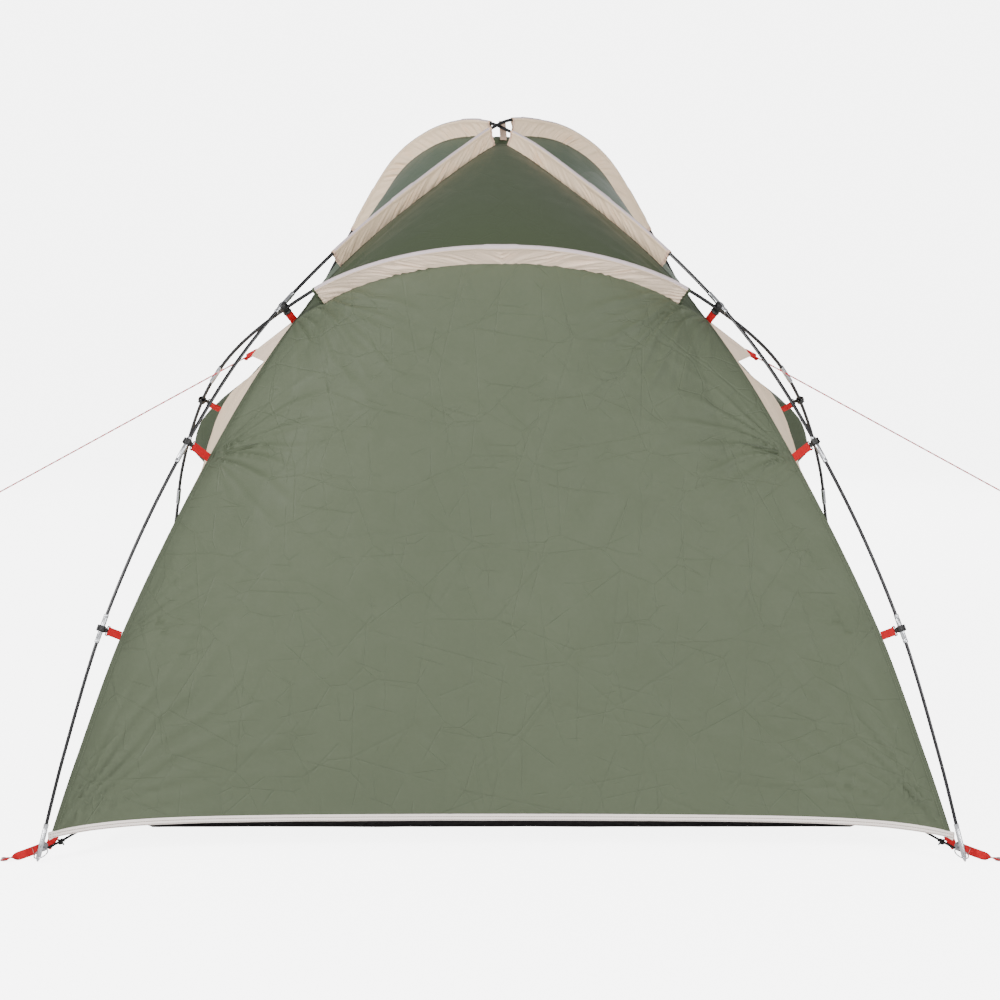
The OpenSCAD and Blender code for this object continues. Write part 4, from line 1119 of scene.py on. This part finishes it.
def door_half(v):
    return mix(DOOR_LOW, DOOR_HIGH, (np.asarray(v, float) - SILL_V) / DOOR_LEN)


def wall_door(f):
    v = mix(SILL_V, DOOR_TOP_V, f)
    return door_plane(door_half(v) + ZIP_OUT, v)


WALL_SEAM = x_line(FRONT_FOOT_S, FRONT_TOP_S)
WALL_LOW, WALL_TOP = ends_joined(WALL_SEAM, wall_door)
wall_relief = relief_of(63, 1.0, (40, 260, 1.4), [
    (x_seam(at), 0.9, 6, 260, 5, 65) for at in (FRONT_FOOT_S, 1405, 1126, FRONT_TOP_S)])
WALL = make_panel(WALL_SEAM, wall_door, WALL_LOW, WALL_TOP, 44, 120, wall_relief)


def lintel(f):
    """Low border of the front roof: from pole to pole over the top of the door."""
    corner, top = x_seam(FRONT_TOP_S), door_plane(DOOR_HIGH + ZIP_OUT, DOOR_TOP_V)
    k = f * 14
    out = np.where((k <= 4)[:, None], mix(corner, top, np.clip(k / 4, 0, 1)[:, None]),
                   mix(top, flip(top), np.clip((k - 4) / 6, 0, 1)[:, None]))
    down = np.clip((k - 10) / 4, 0, 1)[:, None]
    return np.where((k >= 10)[:, None], mix(flip(top), flip(corner), down), out)


front_roof_relief = relief_of(73, 1.0, (40, 280, 1.4), [
    (turn(x_seam(FRONT_TOP_S)), 0.8, 5, 260, 4, 75) for turn in (same, flip)])
ROOF_EDGE = x_line(FRONT_TOP_S, PEAK_CUT)
FRONT_ROOF = make_panel(ROOF_EDGE, flipped(ROOF_EDGE), lintel,
                        straight(x_seam(PEAK_CUT), flip(x_seam(PEAK_CUT))), 112, 84, front_roof_relief)
cloth_piece("front_roof_cloth", FRONT_ROOF, 0.8, "olive", ["front_roof"])
piece("front_roof_seams", seams(FRONT_ROOF, ("left", "right", "low"), 15, 18, 1),
      "olive_seam")

for side_name, turn in (("left", same), ("right", mirror_panel)):
    other = mirror_panel if side_name == "left" else same
    hole = VENT if side_name == "left" else (SIDE_COLUMNS - VENT[1], SIDE_COLUMNS - VENT[0], VENT[2], VENT[3])
    tapes = []
    for part, panel, look, slot, opening in (
            # The side panel's lighter olive is painted light.
            ("side_panel", turn(SIDE), "side_olive_painted_light", "fabric_olive", hole),
            ("side_gusset", turn(GUSSET), "shaded_cream", "fabric_cream", None),
            ("side_lower", turn(LOWER), "olive", "fabric_olive", None),
            ("front_wall", other(WALL), "olive", "fabric_olive", None)):
        cloth_piece(part + "_cloth_" + side_name, panel, 0.8, look, [part + "_" + side_name],
                    hole=opening)
    for panel, sides in ((turn(SIDE), ("left", "right")), (turn(LOWER), ("left", "right", "top")),
                         (other(WALL), ("left", "right"))):
        tapes += [seam_tape(panel, side, 14, seed=30 + len(tapes)) for side in sides]
    piece("side_seams_" + side_name, join(tapes), "olive_seam")
    piece("gusset_seams_" + side_name, seams(turn(GUSSET), ("left", "right"), 12, 40),
          "cream")


# ------------------------------------------------------------------ hems
def hem_piece(name, line, out, node, seed, n, body="tent", height=HEM_H, fall=(0, 0, -1.0)):
    """Doubled hem tape; its two halves swell on either side of a dip in the middle, and its look draws two
    rows of stitches.
    """
    f = np.linspace(0, 1, n)
    base = line(f)
    base[0] += unit(base[0] - base[1]) * 9
    base[-1] += unit(base[-1] - base[-2]) * 9
    total = np.linalg.norm(np.diff(base, axis=0), axis=1).sum()
    across = np.array([0, 0.06, 0.17, 0.32, 0.44, 0.49, 0.54, 0.68, 0.82, 0.93, 1.0])
    proud = np.array([0.2, 1.5, 2.3, 2.4, 1.7, 1.0, 1.7, 2.4, 2.2, 1.5, 0.2])
    ff, aa = np.meshgrid(f, across, indexing="ij")
    flutter = (1.6 * noise(ff * total / 120, aa * 0 + seed, seed) * aa
               + 0.4 * noise(ff * total / 22, aa * 2, seed + 1))
    g = base[:, None, :] + (aa * (height + 3) - 3)[..., None] * np.array(fall)
    g = g + (proud[None, :] + flutter)[..., None] * np.broadcast_to(out, base.shape)[:, None, :]
    lay = np.stack([ff * total, aa * height, np.minimum(aa, 1 - aa) * height], axis=-1)
    g, lay = g[:, ::-1], lay[:, ::-1]
    if np.sum(normals_of(g) * np.broadcast_to(out, base.shape)[:, None, :]) < 0:
        g, lay = g[:, ::-1], lay[:, ::-1]
    piece(name, cloth_solid(g, 1.4, lay=lay), "hem", body, [node])


hem_piece("rear_hem_tape", rear_low, [0, -1, 0], "rear_hem", 81, 420, height=15)
hem_piece("side_hem_tape_left", side_low, [-1, 0, 0], "side_hem_left", 83, 360)
hem_piece("side_hem_tape_right", flipped(side_low), [1, 0, 0], "side_hem_right", 85, 360)
hem_piece("front_hem_tape_right", WALL_LOW, [0.2, 0.98, 0], "front_hem_right", 87, 90)
hem_piece("front_hem_tape_left", flipped(WALL_LOW), [-0.2, 0.98, 0], "front_hem_left", 88, 90)

# ------------------------------------------------------------------ sleeves
TUNNEL_R, TUNNEL_ROWS, LAYER_ROWS, FOLD_DEPTH = 6.1, 19, 24, 8.0


def sleeve(pole, seam, side, at, length, seed, shear, joints):
    """Cloth folded over a pole: a tunnel on top, and two layers sewn together below it, down to the seam."""
    n = max(8, int(length / 3.6))
    s = np.linspace(at[0], at[1], n)
    top, foot = pole(s), seam(s)
    inward = unit(foot - top)
    height = np.linalg.norm(foot - top, axis=1)
    layer = np.linspace(0, 1, LAYER_ROWS)
    down = np.concatenate([1 - layer, np.full(TUNNEL_ROWS, -1.0), layer])
    turn = np.radians(np.linspace(-52, 232, TUNNEL_ROWS))
    run = np.linspace(0, length, n)
    lean = np.sign(run - length / 2) if shear < 0 else 1.0
    # The tunnel is wider where a ferrule joins two rods
    spread = length / abs(at[1] - at[0])
    radius = TUNNEL_R + sum(1.6 * smooth((48 - np.abs(s - joint) * spread) / 10) for joint in joints)
    reach = radius + 2.0
    a_list, d_list = [], []
    for k, f in enumerate(down):
        if f >= 0:
            sign = 1 if k < LAYER_ROWS else -1
            depth_at = reach + f * (height - reach + 3)
            shifted = run + lean * abs(shear) * f * height + 14 * noise(run / 120, run / 300, seed + 5)
            folds = np.abs(noise(shifted / 24 + 9, run / 160 + 3, seed)) * 2 - 0.7
            group = 0.35 + 0.9 * smooth(0.5 + 1.2 * noise(run / 110 + 4, run / 300, seed + 1))
            loose = np.sin(np.pi * min(f * 0.9 + 0.06, 1)) ** 0.6
            wide = sign * (1.2 + (1 - f) ** 4 * 2.2) + FOLD_DEPTH * folds * group * loose
        else:
            angle = turn[k - LAYER_ROWS]
            wrinkle = 0.3 * noise(run / 22 + k * 0.13, run / 70 + k * 0.4, seed + 2)
            depth_at = -(radius + wrinkle) * math.sin(angle)
            wide = (radius + wrinkle) * math.cos(angle)
        a_list.append(np.broadcast_to(wide, n))
        d_list.append(np.broadcast_to(depth_at, n))
    a_all, d_all = np.array(a_list).T, np.array(d_list).T
    across_all = np.broadcast_to(side, top.shape)
    g = top[:, None, :] + a_all[..., None] * across_all[:, None, :] + d_all[..., None] * inward[:, None, :]
    if np.sum(normals_of(g)[:, 3] * across_all) < 0:
        g = g[:, ::-1]
    return Panel(g, g)


def sleeve_bits(name, pole, seam, side, at, length, node, seed, shear, look, joints):
    """Makes a sleeve, and returns the band on its tunnel and the strips at its ends."""
    panel = sleeve(pole, seam, side, at, length, seed, shear, joints)
    cloth_piece(name, panel, 0.7, look, [node])
    g, normal = panel.grid, normals_of(panel.grid)
    half = g.shape[1] // 2
    tunnel = cloth_solid((g + normal * 0.6)[:, half - 4:half + 5], 0.4)
    return tunnel, [cloth_solid((g + normal * 0.9)[rows], 0.6) for rows in (slice(0, 3), slice(-3, None))]


SLEEVE_START, SLEEVE_END, HOOP_SLEEVE_END = 42, 632, 28.2
SLEEVE_LENGTH, HOOP_SLEEVE_LENGTH = 1.1 * (SLEEVE_END - SLEEVE_START), 1030
tunnels, bindings = [], []
for name, over, s0, s1, wrap in (("rear_sleeve_left", 1, -SLEEVE_END, -SLEEVE_START, same),
                                 ("rear_sleeve_right", -1, -SLEEVE_END, -SLEEVE_START, flip),
                                 ("front_sleeve_right", 1, SLEEVE_START, SLEEVE_END, same),
                                 ("front_sleeve_left", -1, SLEEVE_START, SLEEVE_END, flip)):
    tunnel, strips = sleeve_bits(
        name + "_cloth", lambda s: wrap(x_pole(s, over)), lambda s: wrap(x_seam(s)), wrap(POLE_SIDE),
        (s0, s1), SLEEVE_LENGTH, name, 90 + len(tunnels), 1.6 if s0 < 0 else 0.9, "shaded_cream", X_JOINTS)
    tunnels.append(tunnel)
    bindings += strips
tunnel, strips = sleeve_bits("hoop_sleeve_cloth", hoop_pole, hoop_seam, HOOP_SIDE,
                             (-HOOP_SLEEVE_END, HOOP_SLEEVE_END), HOOP_SLEEVE_LENGTH, "hoop_sleeve", 97, -1.5,
                             "cream", [0])
tunnels.append(tunnel)
piece("sleeve_tunnel_bands", join(tunnels), "sleeve_top")
piece("sleeve_end_bindings", join(bindings), "binding")
piece("hoop_sleeve_end_strips", join(strips), "dark_seam_and_roof_shade")

# ------------------------------------------------------------------ peak
PEAK_Z = float(x_seam(0)[2]) + 2
grid_x, grid_y = np.meshgrid(np.linspace(-1, 1, 31), np.linspace(-1, 1, 31))
peak_y = grid_y * 30 + 1
roof_line = REAR_ROOF.grid[::-1, REAR_ROOF.grid.shape[1] // 2]
peak_z = np.interp(-peak_y, [-31, -12, 0], [PEAK_Z + 9, PEAK_Z + 4, PEAK_Z - 1])
behind = np.interp(-peak_y, -roof_line[:12, 1], roof_line[:12, 2] + 1.5)
peak_z = np.where(-peak_y > -roof_line[0, 1], behind, mix(peak_z, behind[0], smooth(-peak_y / 11)))
PEAK = points(grid_x * np.interp(peak_y, [-29, -11, 30], [19, 16, 35]), peak_y,
              peak_z - 3 * grid_x**2 + 0.8 * noise(grid_x * 2, grid_y * 3, 99))
piece("peak_patch_cloth", cloth_solid(PEAK, 1.0), "dark_olive", replaces=["peak_patch"])
LOOP = [(7, -13, -3), (7, -8, 8), (6, 2, 22), (5, 9, 36), (4, 10.5, 46), (3, 9, 53), (3, 12.5, 53),
        (4, 13.5, 44), (5, 12.5, 30), (6, 10, 15), (7, 8, 1)]
loop_path = np.array([(x, y, PEAK_Z + z) for x, y, z in LOOP], float)
loop_fine = np.array([[np.interp(t, range(len(LOOP)), loop_path[:, k]) for k in range(3)]
                      for t in np.linspace(0, len(LOOP) - 1, 60)])
for _ in range(5):
    loop_fine[1:-1] = 0.5 * loop_fine[1:-1] + 0.25 * (loop_fine[:-2] + loop_fine[2:])
piece("peak_loop_webbing", sweep(loop_fine, strap_section(20, 1.2), [1, 0.15, 0]),
      "beige_webbing", replaces=["peak_loop"])

# ------------------------------------------------------------------ side vents
vent_u, vent_v = np.meshgrid(np.linspace(5 / 8, 7 / 8, 41), np.linspace(7 / 18, 8 / 18, 31))
NET = sample(SIDE.grid, vent_u, vent_v)
NET = NET - 1.2 * normals_of(NET)
hood_u, hood_g = np.meshgrid(np.linspace(0, 1, 61), np.linspace(0, 1, 41))
CLOSE = smooth((1 - hood_u) / 0.12)
SWELL = 5 + 84 * np.maximum(1 - hood_g, 0) ** 0.4 * (1 - 0.3 * (1 - hood_g) ** 3) * (
    np.sin(np.pi * mix(0.2, 0.62, hood_u)) ** 0.6) * (0.04 + 0.96 * CLOSE)
HOOD_PLACE = mix(3.9 / 8, 7.6 / 8, hood_u), mix(6.8 / 18, 8.6 / 18, hood_g)
HOOD = sample(SIDE.smooth_grid, *HOOD_PLACE)
HOOD_OUT = unit(sample(normals_of(SIDE.smooth_grid), *HOOD_PLACE))
RIPPLE = 1.5 * noise(hood_u * 5, hood_g * 3, 111) + 0.6 * noise(hood_u * 14, hood_g * 9, 112)
HOOD = HOOD + (SWELL + RIPPLE * smooth(hood_g * 4) * smooth((1 - hood_g) * 6))[..., None] * HOOD_OUT
HOOD_PANEL = Panel(HOOD, HOOD)
for side_name, turn in (("left", same), ("right", mirror_panel)):
    net = turn(Panel(NET, NET))
    cloth_piece("vent_mesh_net_" + side_name, net, 0.5, "mesh", ["vent_mesh_" + side_name])
    hood = turn(HOOD_PANEL)
    hood_obj = cloth_piece("vent_hood_cloth_" + side_name, hood, 1.0, "dark_olive",
                           ["vent_hood_" + side_name], body=None)
    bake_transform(hood_obj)
    bands = join([seam_tape(hood, side, width, lift=1.3, seed=50) for side, width in
                  (("low", 20), ("left", 14), ("right", 14))])
    band_obj = piece("vent_hood_band_" + side_name, bands, "dark_seam_and_roof_shade", body=None)
    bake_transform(band_obj)

# ------------------------------------------------------------------ door and its zips
def door_sag(x, y):
    return 2.2 * noise(x / 60, y / 500, 123) * smooth((y.max() - y) / 200)


def door_edge(sign, low_v):
    def line(f):
        v = mix(low_v, DOOR_TOP_V - 1, f)
        return door_plane(sign * (door_half(v) - 1), v) + DOOR_LIFT
    return line


DOOR_OUT = np.array([0, math.cos(LEAN), math.sin(LEAN)])
DOOR_LIFT = DOOR_OUT * 1.2
DOOR_LOW_V = SILL_V + HEM_H - 1
right_line, left_line = door_edge(1, DOOR_LOW_V), door_edge(-1, DOOR_LOW_V)
DOOR = make_panel(right_line, left_line, *ends_joined(right_line, left_line), 96, 104,
                  relief_of(121, 0.9, (60, 300, 1.4), (), door_sag))
cloth_piece("door_cloth", DOOR, 0.8, "olive", ["door"],
            body="door")
piece("door_seams", seams(DOOR, ("left", "right", "top"), 16, 125),
      "olive_seam", body="door")
DOOR_FALL = np.array([0, math.sin(LEAN), -math.cos(LEAN)])
SILL_ENDS = door_plane(np.array([DOOR_LOW - 2, 2 - DOOR_LOW]), DOOR_LOW_V) + DOOR_LIFT
hem_piece("door_hem_tape", straight(*SILL_ENDS), DOOR_OUT, "door_hem", 127, 260, body="door",
          height=HEM_H - 2, fall=DOOR_FALL)


def zip_line(f, out=0.0):
    v = mix(SILL_V + 1, DOOR_TOP_V - 1, f)
    return door_plane(door_half(v) + ZIP_OUT / 2, v) + DOOR_OUT * out


f = np.linspace(0, 1, 160)
TAPE = sweep(zip_line(f, 0.5), strap_section(ZIP_W - 1, 0.9), [1, 0, 0])
COIL_TURNS = 430
coil_share = np.linspace(0.004, 0.996, 1500)
coil_turn = coil_share * COIL_TURNS * 2 * np.pi
COIL = zip_line(coil_share) + np.sin(coil_turn)[:, None] * [1.9, 0, 0] + (
    1.7 + 0.8 * np.cos(coil_turn))[:, None] * DOOR_OUT
COIL_TUBE = sweep(COIL, round_section(0.55, 6), DOOR_LIFT)
for side_name, turn in (("right", same), ("left", mirrored)):
    piece("door_zip_tape_" + side_name, turn(TAPE), "black_tape",
          replaces=["door_zip_" + side_name])
    piece("door_zip_coil_" + side_name, turn(COIL_TUBE), "black")
    dress("zip_slider_" + side_name, "steel")

# ------------------------------------------------------------------ guyline patches and loops
LOW_CORNER = x_seam(-922) + [5, 10, 1]
HIGH_CORNER = x_seam(-790) + [5, 14, 0]
s_share, t_share = np.meshgrid(np.linspace(0, 1, 33), np.linspace(0, 1, 25))
PATCH = mix(mix(LOW_CORNER, HIGH_CORNER, t_share[..., None]),
            GUY_TIP + unit(HIGH_CORNER - LOW_CORNER) * (t_share[..., None] - 0.5) * 20, s_share[..., None])
ripple = 1.4 * noise(s_share * 3, t_share * 5, 131) * np.sin(np.pi * t_share)
PATCH = PATCH + ripple[..., None] * normals_of(PATCH)
PATCH_PANEL = Panel(PATCH, PATCH)
CORD_START = GUY_TIP + GUY_DIR * 23
LOOP_STRAP = loop_strap(GUY_TIP - GUY_DIR * 14, CORD_START - GUY_DIR * 3, HIGH_CORNER - LOW_CORNER, 18, 2.2)
for side_name, turn, turn_shape in (("left", same, same), ("right", mirror_panel, mirrored)):
    patch = turn(PATCH_PANEL)
    cloth_piece("guy_patch_cloth_" + side_name, patch, 0.9, "cream",
                ["guy_patch_" + side_name])
    piece("guy_patch_hems_" + side_name, seams(patch, ("low", "top"), 8, 133, 1),
          "cream")
    piece("guy_loop_webbing_" + side_name, turn_shape(LOOP_STRAP), "red",
          replaces=["guy_loop_" + side_name])

# ------------------------------------------------------------------ groundsheet
FLOOR_X, FLOOR_REAR, FLOOR_FRONT, RIM_H, RIM_FLARE = 950, -768, 850, 74, 100
gx = np.linspace(-FLOOR_X - RIM_FLARE, FLOOR_X + RIM_FLARE, 150)
gy = np.linspace(FLOOR_REAR - RIM_FLARE, FLOOR_FRONT + RIM_FLARE, 130)
fx, fy = np.meshgrid(gx, gy)
outside = np.maximum(np.abs(fx) - FLOOR_X, np.maximum(FLOOR_REAR - fy, fy - FLOOR_FRONT))
rise = np.clip(outside / RIM_FLARE, 0, 1)
wave = 0.9 + 0.9 * noise(fx / 150, fy / 150, 141) + creases(fx, fy, 142, 60, 400, 0.7)
FLOOR = points(fx, fy, 1.9 + np.maximum(wave, 0) + (RIM_H - 3) * rise)
FLOOR_PANEL = Panel(FLOOR, FLOOR)
cloth_piece("groundsheet_cloth", FLOOR_PANEL, 0.8, "groundsheet", ["groundsheet"])

# ------------------------------------------------------------------ studio
floor_mesh = bpy.data.meshes.new("studio_floor")
FLOOR_CORNERS = [(x, y, -0.001) for x, y in ((-30, -30), (30, -30), (30, 30), (-30, 30))]
floor_mesh.from_pydata(FLOOR_CORNERS, [], [(0, 1, 2, 3)])
floor_obj = bpy.data.objects.new("studio_floor", floor_mesh)
scene.collection.objects.link(floor_obj)
floor_look = Look("studio_white", (0.93, 0.93, 0.93), 0.9)
floor_rays = floor_look.nodes.new("ShaderNodeLightPath")
floor_look.shader.inputs["Emission Color"].default_value = (1, 1, 1, 1)
floor_look.put(floor_look.shader.inputs["Emission Strength"],
               floor_look.math("MULTIPLY", floor_rays.outputs["Is Camera Ray"], 5.5))
floor_mesh.materials.append(floor_look.mat)

world = bpy.data.worlds.new("studio")
scene.world = world
world.use_nodes = True
sky = world.node_tree
seen, lit = sky.nodes["Background"], sky.nodes.new("ShaderNodeBackground")
rays, choice = sky.nodes.new("ShaderNodeLightPath"), sky.nodes.new("ShaderNodeMixShader")
for background, strength in ((seen, 6.0), (lit, 0.5)):
    background.inputs["Color"].default_value = (1, 1, 1, 1)
    background.inputs["Strength"].default_value = strength
sky.links.new(rays.outputs["Is Camera Ray"], choice.inputs[0])
sky.links.new(lit.outputs[0], choice.inputs[1])
sky.links.new(seen.outputs[0], choice.inputs[2])
sky.links.new(choice.outputs[0], sky.nodes["World Output"].inputs["Surface"])


def area_light(name, at, towards, size, power):
    light = bpy.data.lights.new(name, "AREA")
    light.energy, light.size = power, size
    obj = bpy.data.objects.new(name, light)
    scene.collection.objects.link(obj)
    obj.location = at
    direction = np.array(towards, float) - np.array(at, float)
    yaw = math.atan2(direction[0], -direction[1])
    tilt = math.atan2(math.hypot(direction[0], direction[1]), -direction[2])
    obj.rotation_euler = (tilt, 0, yaw + math.pi)


area_light("key", (-5.5, -4.2, 3.8), (0, -0.6, 0.9), 1.6, 440)
area_light("fill", (5.5, -4.6, 3.0), (0, -0.6, 0.9), 2.0, 260)
area_light("front", (0.3, -7.2, 3.6), (0, -0.6, 0.9), 3.0, 230)
area_light("back", (0.6, 6.5, 3.0), (0, 0, 0.9), 3.0, 170)
